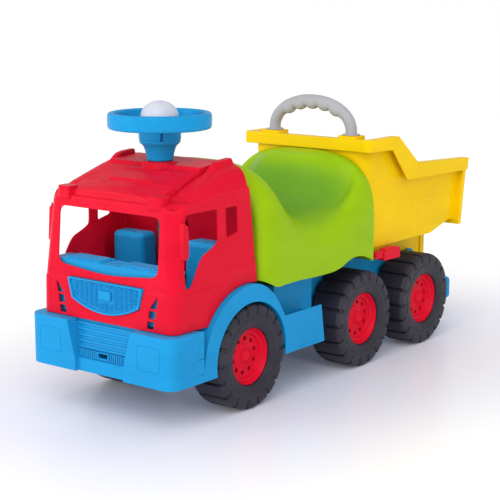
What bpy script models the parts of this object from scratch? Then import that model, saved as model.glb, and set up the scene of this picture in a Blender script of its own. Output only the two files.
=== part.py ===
"""Ride-on tipper truck for a toddler: a red cab, a green saddle seat, a yellow tipping bucket and six wheels.

The truck faces -Y, its left side is +X, and it stands on z = 0. In this file every y is a station: metres
behind the front axle. add_piece moves the stations so that the world origin lies under the truck's middle.
"""

from math import asin, cos, degrees, pi, radians, sin

import bmesh
import bpy
from mathutils import Matrix, Vector

# Overall layout
NOSE_Y = -0.183
TAIL_Y = 0.668
CENTRE_SHIFT = -(NOSE_Y + TAIL_Y) / 2
HALF_WIDTH = 0.1417
GAP = 0.0003
WALL = 0.003

# Wheels
TYRE_R = 0.080
TYRE_WIDTH = 0.059
AXLE_Z = TYRE_R
AXLE_STATIONS = {"front": 0.0, "middle": 0.3025, "rear": 0.4951}
LUGS = 18
BEAD_R = 0.0452
AXLE_R = 0.004
BORE_R = 0.0045
AXLE_END = 0.1308

# Chassis
RAIL_OUT = 0.077
RAIL_IN = 0.0735
RAIL_BOTTOM = 0.066
DECK_TOP = 0.165
DECK_END = 0.400
RAIL_END = 0.500
SIDE_BOX_HALF = 0.104
CHASSIS_FRONT = -0.150
CHASSIS_BACK = 0.650

# Fenders and bumper
ARCH_OUT = 0.111
ARCH_BACK = 0.0941
ARCH_IN = 0.0835
ARCH_LINER = 0.0865
SKIRT_BOTTOM = 0.067
STEP_TOP = 0.128
STEP_BACK = 0.186
BUMPER_TOP = 0.1426

# Cab
CAB_HALF = 0.132
CAB_BOTTOM = 0.1432
EAVE_Z = 0.334
ROOF_Z = 0.366
STEERING_Y = -0.043
BOSS_TOP = 0.3668

# Tipping bucket
BUCKET_FRONT = 0.331
BUCKET_HALF = 0.116
BUCKET_FLOOR = 0.187
RIM_HALF = 0.131
RIM_FRONT = 0.3246
RIM_TOP = 0.373
HINGE_Y = 0.545
HINGE_Z = 0.140
SOCKET_X = 0.0793
SOCKET_Y = 0.3475

# Latch
LATCH_Y = 0.352
LATCH_Z = 0.1785
LATCH_R = 0.0045

# Screws of the two bumpers
SCREW_R = 0.002
SCREW_Z = 0.092
SCREW_X = (-0.045, 0.045)


def clear_scene():
    for item in list(bpy.data.objects):
        bpy.data.objects.remove(item, do_unlink=True)


def plastic(name, colour, roughness=0.35, metallic=0.0):
    made = bpy.data.materials.new(name)
    made.use_nodes = True
    shader = made.node_tree.nodes["Principled BSDF"]
    shader.inputs["Base Color"].default_value = (*colour, 1.0)
    shader.inputs["Roughness"].default_value = roughness
    shader.inputs["Metallic"].default_value = metallic
    made.diffuse_color = (*colour, 1.0)
    return made


def prism(outline, axis, low, high):
    """A flat outline drawn out along one axis. For x it is (y, z), for y (x, z) and for z (x, y)."""
    bm = bmesh.new()
    place = {
        "x": lambda p: Vector((low, p[0], p[1])),
        "y": lambda p: Vector((p[0], low, p[1])),
        "z": lambda p: Vector((p[0], p[1], low)),
    }[axis]
    face = bm.faces.new([bm.verts.new(place(p)) for p in outline])
    run = Vector({"x": (1, 0, 0), "y": (0, 1, 0), "z": (0, 0, 1)}[axis]) * (high - low)
    drawn = bmesh.ops.extrude_face_region(bm, geom=[face])["geom"]
    bmesh.ops.translate(bm, verts=[v for v in drawn if isinstance(v, bmesh.types.BMVert)], vec=run)
    bmesh.ops.recalc_face_normals(bm, faces=bm.faces)
    return bm


def box(x, y, z):
    """A box from three (low, high) pairs."""
    return prism([(x[0], y[0]), (x[1], y[0]), (x[1], y[1]), (x[0], y[1])], "z", z[0], z[1])


def loft(rings):
    """A closed solid through rings of equal point count."""
    bm = bmesh.new()
    loops = [[bm.verts.new(p) for p in ring] for ring in rings]
    count = len(loops[0])
    for first, second in zip(loops, loops[1:]):
        for i in range(count):
            j = (i + 1) % count
            bm.faces.new((first[i], first[j], second[j], second[i]))
    bm.faces.new(reversed(loops[0]))
    bm.faces.new(loops[-1])
    bmesh.ops.recalc_face_normals(bm, faces=bm.faces)
    return bm


def turned(profile, centre, axis, segments, phase=0.0):
    """A closed (radius, along) profile spun round an axis through centre. Points at radius 0 make a pole."""
    bm = bmesh.new()
    along = Vector({"x": (1, 0, 0), "z": (0, 0, 1)}[axis])
    out = {"x": Vector((0, cos(phase), sin(phase))), "z": Vector((cos(phase), sin(phase), 0))}[axis]
    verts = [bm.verts.new(Vector(centre) + out * r + along * a) for r, a in profile]
    edges = [bm.edges.new((v, verts[(i + 1) % len(verts)])) for i, v in enumerate(verts)]
    edges = [e for e in edges if any((v.co - Vector(centre)).cross(along).length > 1e-7 for v in e.verts)]
    bmesh.ops.spin(
        bm, geom=edges, cent=centre, axis=along, angle=2 * pi, steps=segments, use_merge=True
    )
    bmesh.ops.remove_doubles(bm, verts=bm.verts, dist=1e-6)
    loose = [e for e in bm.edges if not e.link_faces]
    bmesh.ops.delete(bm, geom=loose, context="EDGES")
    bmesh.ops.recalc_face_normals(bm, faces=bm.faces)
    return bm


def rod(radius, axis, centre, low, high, segments=12):
    """A round bar along x or z. Low and high take the place of its centre's coordinate on that axis."""
    middle = Vector(centre)
    middle["xyz".index(axis)] = 0.0
    return turned([(0, low), (radius, low), (radius, high), (0, high)], middle, axis, segments)


def arc(centre, radius, start, end, steps):
    """Points round a circle, from one angle in degrees to the other."""
    angles = [radians(start + (end - start) * i / steps) for i in range(steps + 1)]
    return [(centre[0] + radius * cos(a), centre[1] + radius * sin(a)) for a in angles]


def rounded(corners, radius, steps=3):
    """The outline through these corners, with each corner turned into a small curve."""
    made = []
    radii = radius if isinstance(radius, (list, tuple)) else [radius] * len(corners)
    for i, corner in enumerate(corners):
        here = Vector(corner)
        before = (Vector(corners[i - 1]) - here).normalized()
        after = (Vector(corners[(i + 1) % len(corners)]) - here).normalized()
        first = here + before * radii[i]
        last = here + after * radii[i]
        for k in range(steps + 1):
            t = k / steps
            made.append(tuple((1 - t) ** 2 * first + 2 * t * (1 - t) * here + t * t * last))
    return made


def turned_about_z(bm, angle):
    matrix = Matrix.Rotation(radians(angle), 3, "Z")
    bmesh.ops.rotate(bm, verts=bm.verts, cent=(0, 0, 0), matrix=matrix)
    return bm


def moved(bm, offset):
    bmesh.ops.translate(bm, verts=bm.verts, vec=Vector(offset))
    return bm


def merged(*parts):
    """Several closed shapes in one bmesh, as a cutter or a join may hold."""
    whole = parts[0]
    for part in parts[1:]:
        spare = bpy.data.meshes.new("spare")
        part.to_mesh(spare)
        whole.from_mesh(spare)
        bpy.data.meshes.remove(spare)
        part.free()
    return whole


def add_piece(name, bm, finish, pivot=(0.0, 0.0, 0.0)):
    """Make one named piece. Its origin is the pivot, and its stations become world positions."""
    bmesh.ops.translate(bm, verts=bm.verts, vec=-Vector(pivot))
    mesh = bpy.data.meshes.new(name)
    bm.to_mesh(mesh)
    bm.free()
    mesh.shade_smooth()
    mesh.set_sharp_from_angle(angle=radians(32))
    piece = bpy.data.objects.new(name, mesh)
    piece.location = Vector(pivot) + Vector((0, CENTRE_SHIFT, 0))
    bpy.context.scene.collection.objects.link(piece)
    if finish:
        mesh.materials.append(finish)
    return piece


def boolean(piece, shapes, operation):
    """Cut shapes from a piece, or join them to it, one helper object for each call."""
    for number, shape in enumerate(shapes):
        helper = add_piece(f"{piece.name}_{operation.lower()}_{len(piece.modifiers)}", shape, None)
        helper.hide_render = True
        helper.display_type = "WIRE"
        modifier = piece.modifiers.new(f"{operation.lower()} {number}", "BOOLEAN")
        modifier.operation = operation
        modifier.solver = "EXACT"
        modifier.object = helper


def cut(piece, *shapes):
    boolean(piece, shapes, "DIFFERENCE")


def join(piece, *shapes):
    boolean(piece, shapes, "UNION")


def smooth(t):
    """0 below 0, 1 above 1, and an even curve between."""
    t = min(max(t, 0.0), 1.0)
    return t * t * (3 - 2 * t)


def span(side, low, high):
    """An x range on one side of the truck, lowest value first."""
    return (low, high) if side > 0 else (-high, -low)


def plan_ring(half, front, back, z, front_r=0.014, back_r=0.005):
    corners = [(half, front), (half, back), (-half, back), (-half, front)]
    return [(x, y, z) for x, y in rounded(corners, [front_r, back_r, back_r, front_r])]


# Root body

def add_chassis(finish):
    box_y = (0.1005, 0.202)
    half_plan = [(RAIL_OUT, CHASSIS_FRONT), (RAIL_OUT, box_y[0]), (SIDE_BOX_HALF, box_y[0])]
    half_plan += [(SIDE_BOX_HALF, box_y[1]), (RAIL_OUT, box_y[1]), (RAIL_OUT, DECK_END)]
    plan = half_plan + [(-x, y) for x, y in reversed(half_plan)]
    deck = add_piece("chassis", prism(plan, "z", DECK_TOP - 0.0035, DECK_TOP), finish)

    low_rail_top = 0.112
    ear_r = 0.0155
    rail = [(CHASSIS_FRONT, RAIL_BOTTOM), (CHASSIS_BACK, RAIL_BOTTOM), (CHASSIS_BACK, low_rail_top)]
    rail += [(HINGE_Y + ear_r, low_rail_top)]
    rail += arc((HINGE_Y, HINGE_Z), ear_r, 0, 180, 8)
    rail += [(HINGE_Y - ear_r, low_rail_top), (RAIL_END + 0.012, low_rail_top)]
    rail += [(RAIL_END, DECK_TOP - 0.001), (CHASSIS_FRONT, DECK_TOP - 0.001)]
    for side in (1, -1):
        join(deck, prism(rail, "x", *span(side, RAIL_IN, RAIL_OUT - 0.0001)))
        join(deck, box(span(side, SIDE_BOX_HALF - WALL, SIDE_BOX_HALF - 0.0001),
                       (box_y[0] + 0.0001, box_y[1] - 0.0001), (0.108, DECK_TOP - 0.001)))
        for y in (box_y[0] + 0.0001, box_y[1] - WALL):
            join(deck, box(span(side, RAIL_OUT - 0.001, SIDE_BOX_HALF - 0.001),
                           (y, y + WALL - 0.0002), (0.108, DECK_TOP - 0.001)))
        join(deck, prism(arc((LATCH_Y, LATCH_Z - 0.0005), 0.0075, 0, 180, 6) +
                         [(LATCH_Y - 0.0075, DECK_TOP - 0.001), (LATCH_Y + 0.0075, DECK_TOP - 0.001)],
                         "x", *span(side, 0.058, 0.062)))
    inner = RAIL_IN + 0.001
    join(deck, box((-inner, inner), (CHASSIS_FRONT + 0.0001, CHASSIS_FRONT + WALL), (0.070, DECK_TOP - 0.001)))
    join(deck, box((-inner, inner), (DECK_END - 0.006, CHASSIS_BACK - 0.001), (RAIL_BOTTOM + 0.0001, 0.0695)))
    back_plate_y = (CHASSIS_BACK - 0.0035, CHASSIS_BACK - 0.0001)
    join(deck, box((-inner, inner), back_plate_y, (0.068, low_rail_top - 0.001)))

    for station in AXLE_STATIONS.values():
        cut(deck, rod(BORE_R, "x", (0, station, AXLE_Z), -0.09, 0.09))
    cut(deck, rod(BORE_R, "x", (0, HINGE_Y, HINGE_Z), -0.09, 0.09))
    cut(deck, rod(LATCH_R + 0.0004, "x", (0, LATCH_Y, LATCH_Z), -0.09, 0.09))
    cut(deck, rod(0.0075, "z", (0, STEERING_Y, 0), 0.15, 0.18, 16))
    for x in SCREW_X:
        cut(deck, screw_hole(x, CHASSIS_FRONT + 0.0015), screw_hole(x, CHASSIS_BACK - 0.002))
    return deck


def y_rod(radius, x, z, low, high, segments=10):
    """A round bar along y."""
    points = [(x + radius * cos(a), z + radius * sin(a)) for a in
              [2 * pi * i / segments for i in range(segments)]]
    return prism(points, "y", low, high)


def screw_hole(x, y):
    return y_rod(SCREW_R + 0.0004, x, SCREW_Z, y - 0.006, y + 0.006)


def add_screw(name, x, head_y, direction, length, finish):
    """A pan-head screw along y, with its head at head_y and its shank running in the given direction."""
    head = y_rod(0.0038, x, SCREW_Z, *sorted((head_y, head_y - direction * 0.0024)))
    piece = add_piece(name, head, finish)
    join(piece, y_rod(SCREW_R, x, SCREW_Z, *sorted((head_y - direction * 0.001, head_y + direction * length))))


def add_bumper(finish):
    """A bumper across the nose, with a recessed sloping panel and two returns along the sides."""
    back = -0.1129
    depth = 0.0045

    def plan(inset, back_y):
        half = HALF_WIDTH - inset
        nose = NOSE_Y + inset
        corners = [(half, back_y), (half, nose), (-half, nose), (-half, back_y)]
        return rounded(corners, [0.0001, 0.022 - inset, 0.022 - inset, 0.0001], steps=5)

    bumper = add_piece("front_bumper", prism(plan(0, back), "z", SKIRT_BOTTOM, BUMPER_TOP), finish)
    cut(bumper, prism(plan(depth, back + 0.02), "z", SKIRT_BOTTOM - 0.01, BUMPER_TOP - depth))
    core = box((-0.068, 0.068), (NOSE_Y + 0.002, -0.1505), (SKIRT_BOTTOM + 0.0001, BUMPER_TOP - 0.0001))
    join(bumper, core)
    foot = 0.087
    recess = loft([
        [(-0.0478, NOSE_Y - 0.01, foot), (0.0478, NOSE_Y - 0.01, foot),
         (0.0478, -0.170, foot), (-0.0478, -0.170, foot)],
        [(-0.0650, NOSE_Y - 0.01, 0.150), (0.0650, NOSE_Y - 0.01, 0.150),
         (0.0650, -0.1565, 0.150), (-0.0650, -0.1565, 0.150)],
    ])
    cut(bumper, recess)
    lip = box((-0.047, 0.047), (NOSE_Y - 0.01, -0.176), (SKIRT_BOTTOM - 0.01, foot + 0.002))
    cut(bumper, lip)
    cut(bumper, box((-RAIL_OUT - 0.001, RAIL_OUT + 0.001), (CHASSIS_FRONT - GAP, back + 0.03), (0.12, 0.15)))
    slats = merged(*[box((-0.050 - 0.0015 * k, 0.050 + 0.0015 * k), (-0.1710 + 0.002 * k, -0.158),
                         (0.104 + 0.0095 * k, 0.1065 + 0.0095 * k)) for k in range(4)])
    join(bumper, slats)
    cut(bumper, box((-0.0095, 0.0095), (-0.20, -0.14), (0.0905, 0.0985)))
    for x in SCREW_X:
        cut(bumper, screw_hole(x, -0.150))
    return bumper


def arch_edge(start, end, steps, inset=0.0):
    """The outer edge of a wheel arch. It draws in towards the tyre behind the wheel's top."""
    points = []
    for k in range(steps + 1):
        turn = start + (end - start) * k / steps
        r = ARCH_BACK + (ARCH_OUT - ARCH_BACK) * smooth((turn - 31) / 59) - inset
        points.append((r * cos(radians(turn)), AXLE_Z + r * sin(radians(turn))))
    return points


def add_fender(name, side, finish):
    """A front wheel arch with its liner, drawn on into the outer face of the side step."""
    meet = degrees(asin((STEP_TOP - AXLE_Z) / ARCH_BACK))
    foot = degrees(asin((AXLE_Z - SKIRT_BOTTOM) / ARCH_IN))
    outline = [(-0.1125, SKIRT_BOTTOM), (-0.1125, AXLE_Z + 0.004)]
    outline += arch_edge(176, meet, 18)
    outline += [(0.177, STEP_TOP), (STEP_BACK, SKIRT_BOTTOM)]
    outline += arc((0, AXLE_Z), ARCH_IN, -foot, 180 + foot, 16)
    fender = add_piece(name, prism(outline, "x", *span(side, HALF_WIDTH - 0.0035, HALF_WIDTH)), finish)
    liner = arc((0, AXLE_Z), ARCH_LINER, 2, 178, 16) + arc((0, AXLE_Z), ARCH_IN + 0.0002, 178, 2, 16)
    join(fender, prism(liner, "x", *span(side, 0.0805, HALF_WIDTH - 0.001)))
    lip = arch_edge(165, meet + 8, 14, 0.0001) + arch_edge(meet + 8, 165, 14, WALL)
    join(fender, prism(lip, "x", *span(side, 0.118, HALF_WIDTH - 0.001)))
    return fender


def add_step_tray(name, side, finish):
    """The open-topped box between the chassis and the step's outer face."""
    x = span(side, SIDE_BOX_HALF + GAP, HALF_WIDTH - 0.0035 - GAP)
    y = (0.1005, 0.176)
    z = (SKIRT_BOTTOM + 0.001, 0.116)
    tray = add_piece(name, box(x, y, z), finish)
    cut(tray, box((x[0] + 0.0025, x[1] - 0.0025), (y[0] + 0.0025, y[1] - 0.0025), (z[0] + 0.0025, z[1] + 0.01)))
    shelf = box((x[0] + 0.001, x[1] - 0.001), (y[0] + 0.001, y[0] + 0.026), (z[0] + 0.001, 0.098))
    join(tray, shelf)
    return tray


def add_cab(finish):
    def body(inset, bottom):
        """The cab's outer form, or with an inset the space inside it."""
        top = -inset
        rings = [
            plan_ring(CAB_HALF - inset, -0.1665 + inset, 0.0290 - inset, bottom),
            plan_ring(CAB_HALF - inset, -0.1650 + inset, 0.0236 - inset, 0.199),
            plan_ring(CAB_HALF - 0.0045 - inset, -0.1520 + inset, 0.0078 - inset, EAVE_Z + top),
            plan_ring(0.121 - inset, -0.1360 + inset, 0.0050 - inset, EAVE_Z + 0.004 + top, 0.012, 0.004),
            plan_ring(0.103 - inset, -0.0560 + inset, 0.0020 - inset, ROOF_Z + top, 0.012, 0.004),
        ]
        return loft(rings)

    cab = add_piece("cab_shell", body(0.0, CAB_BOTTOM), finish)
    for side in (1, -1):
        rail = [(-0.112, 0.345), (-0.040, 0.3745), (-0.004, 0.3755), (0.0005, 0.350), (-0.03, 0.345)]
        join(cab, prism(rail, "x", *span(side, 0.090, 0.104)))
    join(cab, rod(0.026, "z", (0, STEERING_Y, 0), 0.345, BOSS_TOP, 24))
    cut(cab, body(WALL, 0.12))
    visor = loft([
        [(-0.078, -0.20, 0.3225), (0.078, -0.20, 0.3225), (0.078, -0.1510, 0.3225), (-0.078, -0.1510, 0.3225)],
        [(-0.078, -0.20, 0.35), (0.078, -0.20, 0.35), (0.078, -0.1485, 0.35), (-0.078, -0.1485, 0.35)],
    ])
    cut(cab, visor)

    screen = rounded([(-0.093, 0.306), (0.093, 0.306), (0.093, 0.223), (0.0, 0.2105), (-0.093, 0.223)],
                     [0.012, 0.012, 0.014, 0.04, 0.014])
    cut(cab, prism(screen, "y", -0.19, -0.13))
    door_window = rounded(
        [(-0.142, 0.311), (-0.066, 0.311), (-0.069, 0.260), (-0.104, 0.246), (-0.127, 0.2075),
         (-0.1405, 0.2075), (-0.1445, 0.246)],
        [0.006, 0.003, 0.003, 0.018, 0.004, 0.004, 0.006])
    rear_window = rounded([(-0.0506, 0.311), (-0.0229, 0.310), (-0.0229, 0.274), (-0.0476, 0.266)], 0.003)
    for window in (door_window, rear_window):
        cut(cab, prism(window, "x", -0.16, 0.16))
    cut(cab, prism(grille_outline(GAP), "y", -0.19, -0.15))
    for side in (1, -1):
        cut(cab, headlight_slots(side))
    cut(cab, rod(ARCH_OUT + 0.0006, "x", (0, 0, AXLE_Z), -0.16, 0.16, 48))
    cut(cab, rod(0.0075, "z", (0, STEERING_Y, 0), 0.33, 0.38, 16))
    return cab


def grille_outline(grow=0.0):
    """A smile-shaped outline in (x, z): a straight top, short sides and a sagging bottom edge."""
    bottom = []
    half = 0.066 + grow
    for k in range(9):
        x = half * (1 - k / 4)
        bottom.append((x, 0.1560 - grow + 0.017 * (x / half) ** 2))
    return [(-0.0734 - grow, 0.2010), (-0.0715 - grow, 0.2034 + grow),
            (0.0715 + grow, 0.2034 + grow), (0.0734 + grow, 0.2010)] + bottom


def headlight_slots(side):
    """Three openings in a column that leans in as it goes down. The top one is a triangle."""
    slots = []
    rows = [(0.177, 0.193), (0.162, 0.1735), (0.147, 0.158)]
    for row, (low, high) in enumerate(rows):
        outer_high = 0.1005 - 0.0065 * (0.193 - high) / 0.035
        outer_low = 0.1005 - 0.0065 * (0.193 - low) / 0.035
        width = 0.0095
        top_width = 0.002 if row == 0 else width
        corners = [(outer_low, low), (outer_high, high), (outer_high - top_width, high), (outer_low - width, low)]
        slots.append(prism([(side * x, z) for x, z in corners], "y", -0.19, -0.1615))
    return merged(*slots)


def add_grille(finish):
    """The blue grille: a raised border round a field, with a blank badge plate."""
    grille = add_piece("grille_insert", prism(grille_outline(), "y", -0.1685, -0.1612), finish)
    field = [(x * 0.93, 0.182 + (z - 0.182) * 0.86) for x, z in grille_outline()]
    cut(grille, prism(field, "y", -0.18, -0.1672))
    join(grille, box((-0.012, 0.012), (-0.1684, -0.165), (0.176, 0.192)))
    return grille


def add_dashboard(finish):
    dash = add_piece("dashboard", box((-0.117, 0.117), (-0.1580, -0.1545), (0.1485, 0.2325)), finish)
    join(dash, box((-0.1168, 0.1168), (-0.1579, -0.118), (0.2290, 0.2324)))
    for side in (1, -1):
        join(dash, box(span(side, 0.022, 0.088), (-0.1545, -0.124), (0.2310, 0.2360)))
    for side in (1, -1):
        join(dash, box(span(side, 0.090, 0.094), (-0.1575, -0.119), (0.1720, 0.2310)))
    return dash


def add_cab_seat(name, side, finish):
    x = span(side, 0.0425, 0.1045)
    seat = add_piece(name, box(x, (-0.040, -0.003), (0.1705, 0.2515)), finish)
    soften = seat.modifiers.new("soft edges", "BEVEL")
    soften.width = 0.007
    soften.segments = 2
    soften.limit_method = "ANGLE"
    return seat


def add_saddle(finish):
    """The seat body: arched sections along the truck, dipping between a front ridge and a rear arch."""
    # station, half width, crown height, height where the side wall starts to curve in, lower edge
    stations = [
        (0.0275, 0.1200, 0.3350, 0.215, 0.1905),
        (0.0330, 0.1320, 0.3500, 0.222, 0.1890),
        (0.0450, 0.1395, 0.3590, 0.232, 0.1835),
        (0.0620, 0.1410, 0.3610, 0.236, 0.1760),
        (0.0800, 0.1410, 0.3500, 0.232, 0.1765),
        (0.1000, 0.1410, 0.3230, 0.222, 0.1765),
        (0.1250, 0.1410, 0.2970, 0.212, 0.1765),
        (0.1550, 0.1410, 0.2840, 0.205, 0.1750),
        (0.1850, 0.1410, 0.2825, 0.204, 0.1745),
        (0.2120, 0.1410, 0.2920, 0.208, 0.1750),
        (0.2350, 0.1410, 0.3140, 0.218, 0.1790),
        (0.2550, 0.1410, 0.3370, 0.228, 0.1865),
        (0.2750, 0.1410, 0.3495, 0.234, 0.1895),
        (0.3000, 0.1410, 0.3520, 0.236, 0.1860),
        (0.3290, 0.1405, 0.3520, 0.236, 0.1750),
    ]
    wall = 0.0028
    power = 2 / 2.9
    last = stations[-1][0]

    def crown_and_shoulder(y):
        for first, second in zip(stations, stations[1:]):
            if y <= second[0]:
                t = (y - first[0]) / (second[0] - first[0])
                return [first[k] + (second[k] - first[k]) * t for k in (2, 3)]
        return stations[-1][2:4]

    def setback(x, y):
        """How far the rear arch stands back at this distance from the middle, for the rider's thighs."""
        hollow = smooth((abs(x) - 0.030) / 0.085) * (1 - 0.6 * smooth((abs(x) - 0.105) / 0.030))
        start = smooth((y - 0.150) / 0.140)
        end = smooth((y - 0.300) / (last - 0.300))
        return (0.006 + 0.050 * hollow) * start * (1 - end)

    def section(y, half, low, inset):
        points = [(half - inset, y, low)]
        for k in range(17):
            t = pi * k / 16
            x = (half - inset) * abs(cos(t)) ** power
            crown, shoulder = crown_and_shoulder(max(y - setback(x, y), stations[0][0]))
            z = shoulder + (crown - shoulder - inset) * sin(t) ** power
            points.append((x if t < pi / 2 else -x, y, z))
        points.append((-(half - inset), y, low))
        return points

    outside = []
    hollow = []
    for y, half, _, _, low in stations:
        outside.append(section(y, half, low, 0.0))
        inner_y = min(max(y, stations[0][0] + wall), last - wall)
        hollow.append(section(inner_y, half, 0.160, wall))
    saddle = add_piece("seat_saddle", loft(outside), finish)
    cut(saddle, loft(hollow))
    return saddle


# Steering body

def add_steering(blue, white, steel, rubber):
    pivot = (0, STEERING_Y, 0)
    centre = Vector(pivot)
    column_z = BOSS_TOP + 0.0004
    bore = 0.0070
    profile = [(bore, column_z), (0.0175, column_z), (0.0195, 0.3770), (0.0243, 0.3900), (0.0300, 0.3950),
               (0.0315, 0.3975), (0.0315, 0.4145), (bore, 0.4145)]
    column = add_piece("steering_column", turned(profile, centre, "z", 20), blue, pivot)
    slot = turned_about_z(box((-0.0019, 0.0019), (-0.050, -0.026), (0.3995, 0.4120)), 46)
    cut(column, moved(slot, centre))

    rim = [(0.0640, 0.4176), (0.0750, 0.4176), (0.0777, 0.4215), (0.0777, 0.4360), (0.0750, 0.4400),
           (0.0690, 0.4400), (0.0655, 0.4370)]
    wheel = add_piece("steering_wheel", turned(rim, centre, "z", 28), blue, pivot)
    hub = [(bore, 0.4150), (0.0330, 0.4150), (0.0330, 0.4330)]
    hub += [(0.0300, 0.4330), (0.0300, 0.4205), (bore, 0.4205)]
    join(wheel, turned(hub, centre, "z", 20))
    for turn in (90, 210, 330):
        spoke = turned_about_z(box((0.0310, 0.0670), (-0.0125, 0.0125), (0.4178, 0.4238)), turn)
        join(wheel, moved(spoke, centre))

    shaft = turned([(0, 0.1500), (0.0065, 0.1500), (0.0065, 0.4210), (0, 0.4210)], centre, "z", 16)
    add_piece("steering_shaft", shaft, steel, pivot)
    nut = [(0.0069, 0.1545), (0.0110, 0.1545), (0.0110, 0.1600), (0.0069, 0.1600)]
    add_piece("shaft_retainer", turned(nut, centre, "z", 16), steel, pivot)

    outer_r = 0.0285
    top = 0.4570
    base = 0.4265
    dome = [(outer_r, base)]
    spring_z = 0.4330
    wall = 0.0022
    for k in range(6):
        turn = pi / 2 * k / 6
        dome.append((outer_r * cos(turn), spring_z + (top - spring_z) * sin(turn)))
    dome += [(0, top), (0, top - wall)]
    for k in range(4, -1, -1):
        turn = pi / 2 * k / 5
        dome.append(((outer_r - wall) * cos(turn), spring_z + (top - wall - spring_z) * sin(turn)))
    dome += [(outer_r - wall, base)]
    add_piece("horn_button", turned(dome, centre, "z", 20), white, pivot)

    low = 0.4210
    fold = 0.0052
    bellows = [(0, low)]
    bellows += [(0.0140 if k % 2 else 0.0180, low + fold * k) for k in range(6)]
    bellows += [(0.0070, 0.4518), (0, 0.4518)]
    add_piece("horn_bellows", turned(bellows, centre, "z", 16), rubber, pivot)


# Bucket body

def add_bucket(finish):
    pivot = (0, HINGE_Y, HINGE_Z)
    foot_y = 0.641
    end_top = (0.6565, 0.3130)
    top = [(0.481, 0.3210), (0.416, RIM_TOP - 0.002), (BUCKET_FRONT, RIM_TOP - 0.002)]
    bottom = [(BUCKET_FRONT, BUCKET_FLOOR), (0.552, BUCKET_FLOOR), (0.612, 0.2025), (foot_y, 0.2025)]
    side = bottom + [end_top] + top
    bucket = add_piece("dump_bucket", prism(side, "x", -BUCKET_HALF, BUCKET_HALF), finish, pivot)
    inside = [(BUCKET_FRONT + WALL, BUCKET_FLOOR + WALL), (0.5515, BUCKET_FLOOR + WALL), (0.6115, 0.2055),
              (0.70, 0.2055), (0.70, 0.42), (BUCKET_FRONT + WALL, 0.42)]
    cut(bucket, prism(inside, "x", -BUCKET_HALF + WALL, BUCKET_HALF - WALL))

    band = [(RIM_FRONT, 0.353), (0.398, 0.351), (0.447, 0.295), (0.6545, 0.2915), (0.6575, 0.3135),
            (0.4815, 0.3215), (0.4165, RIM_TOP), (RIM_FRONT, RIM_TOP)]
    trough = [(RIM_FRONT + 0.003, 0.34), (0.398, 0.34), (0.440, 0.28), (0.6545, 0.28), (0.6545, 0.3100),
              (0.4800, 0.3183), (0.4152, RIM_TOP - 0.003), (RIM_FRONT + 0.003, RIM_TOP - 0.003)]
    for turn in (1, -1):
        wing = prism(band, "x", *span(turn, BUCKET_HALF - 0.0015, RIM_HALF))
        join(bucket, wing)
        cut(bucket, prism(trough, "x", *span(turn, BUCKET_HALF, RIM_HALF - 0.003)))
    shelf_back = 0.372
    join(bucket, box((-0.1295, 0.1295), (RIM_FRONT + 0.0002, RIM_FRONT + 0.0032), (0.3532, RIM_TOP - 0.0002)))
    join(bucket, box((-0.1150, 0.1150), (RIM_FRONT + 0.0004, shelf_back), (RIM_TOP - 0.0032, RIM_TOP - 0.0001)))
    for turn in (1, -1):
        boss = box(span(turn, SOCKET_X - 0.024, SOCKET_X + 0.024), (SOCKET_Y - 0.0165, SOCKET_Y + 0.0165),
                   (0.345, 0.3770))
        join(bucket, boss)
        cut(bucket, rod(0.0120, "z", (turn * SOCKET_X, SOCKET_Y, 0), 0.350, 0.39, 16))

    for turn in (1, -1):
        rib = [(foot_y - 0.0105, 0.2000), (foot_y, 0.2000), (0.6545, 0.2950), (0.6440, 0.2950)]
        join(bucket, prism(rib, "x", *span(turn, BUCKET_HALF - 0.001, 0.1275)))
    join(bucket, box((-0.1274, 0.1274), (foot_y - 0.0105, foot_y - 0.0002), (0.1930, 0.2040)))

    skirt = ((-0.070, 0.070), (0.428, 0.603), (0.1240, BUCKET_FLOOR + 0.0015))
    join(bucket, frame_box(*skirt, WALL))
    cut(bucket, rod(BORE_R, "x", (0, HINGE_Y, HINGE_Z), -0.09, 0.09))
    return bucket


def frame_box(x, y, z, wall):
    """A box with walls on four sides, open below and above."""
    outer = [(x[0], y[0]), (x[1], y[0]), (x[1], y[1]), (x[0], y[1])]
    inner = [(x[0] + wall, y[0] + wall), (x[1] - wall, y[0] + wall),
             (x[1] - wall, y[1] - wall), (x[0] + wall, y[1] - wall)]
    bm = bmesh.new()
    rings = []
    for level in z:
        rings.append(([bm.verts.new((*p, level)) for p in outer], [bm.verts.new((*p, level)) for p in inner]))
    for i in range(4):
        j = (i + 1) % 4
        bm.faces.new((rings[0][0][i], rings[0][0][j], rings[1][0][j], rings[1][0][i]))
        bm.faces.new((rings[0][1][i], rings[0][1][j], rings[1][1][j], rings[1][1][i]))
        for outer_ring, inner_ring in rings:
            bm.faces.new((outer_ring[i], outer_ring[j], inner_ring[j], inner_ring[i]))
    bmesh.ops.recalc_face_normals(bm, faces=bm.faces)
    return bm


def add_handle(finish):
    """A round bar bent into an arch, with its two legs in the headboard's sockets."""
    radius = 0.0115
    foot = 0.3505
    spring_line = 0.383
    half = SOCKET_X
    rise = 0.4318 - spring_line
    path = [(half, foot), (half, 0.368)]
    for k in range(17):
        t = pi * k / 16
        x = half * abs(cos(t)) ** (2 / 2.3)
        path.append((x if t < pi / 2 else -x, spring_line + rise * sin(t) ** (2 / 2.3)))
    path += [(-half, 0.368), (-half, foot)]
    curve = bpy.data.curves.new("bucket_handle", "CURVE")
    curve.dimensions = "3D"
    curve.bevel_depth = radius
    curve.bevel_resolution = 3
    curve.use_fill_caps = True
    spline = curve.splines.new("POLY")
    spline.points.add(len(path) - 1)
    for point, (x, z) in zip(spline.points, path):
        point.co = (x, SOCKET_Y - HINGE_Y, z - HINGE_Z, 1)
    curve.materials.append(finish)
    handle = bpy.data.objects.new("bucket_handle", curve)
    handle.location = (0, HINGE_Y + CENTRE_SHIFT, HINGE_Z)
    bpy.context.scene.collection.objects.link(handle)
    return handle


# Latch body

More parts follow.
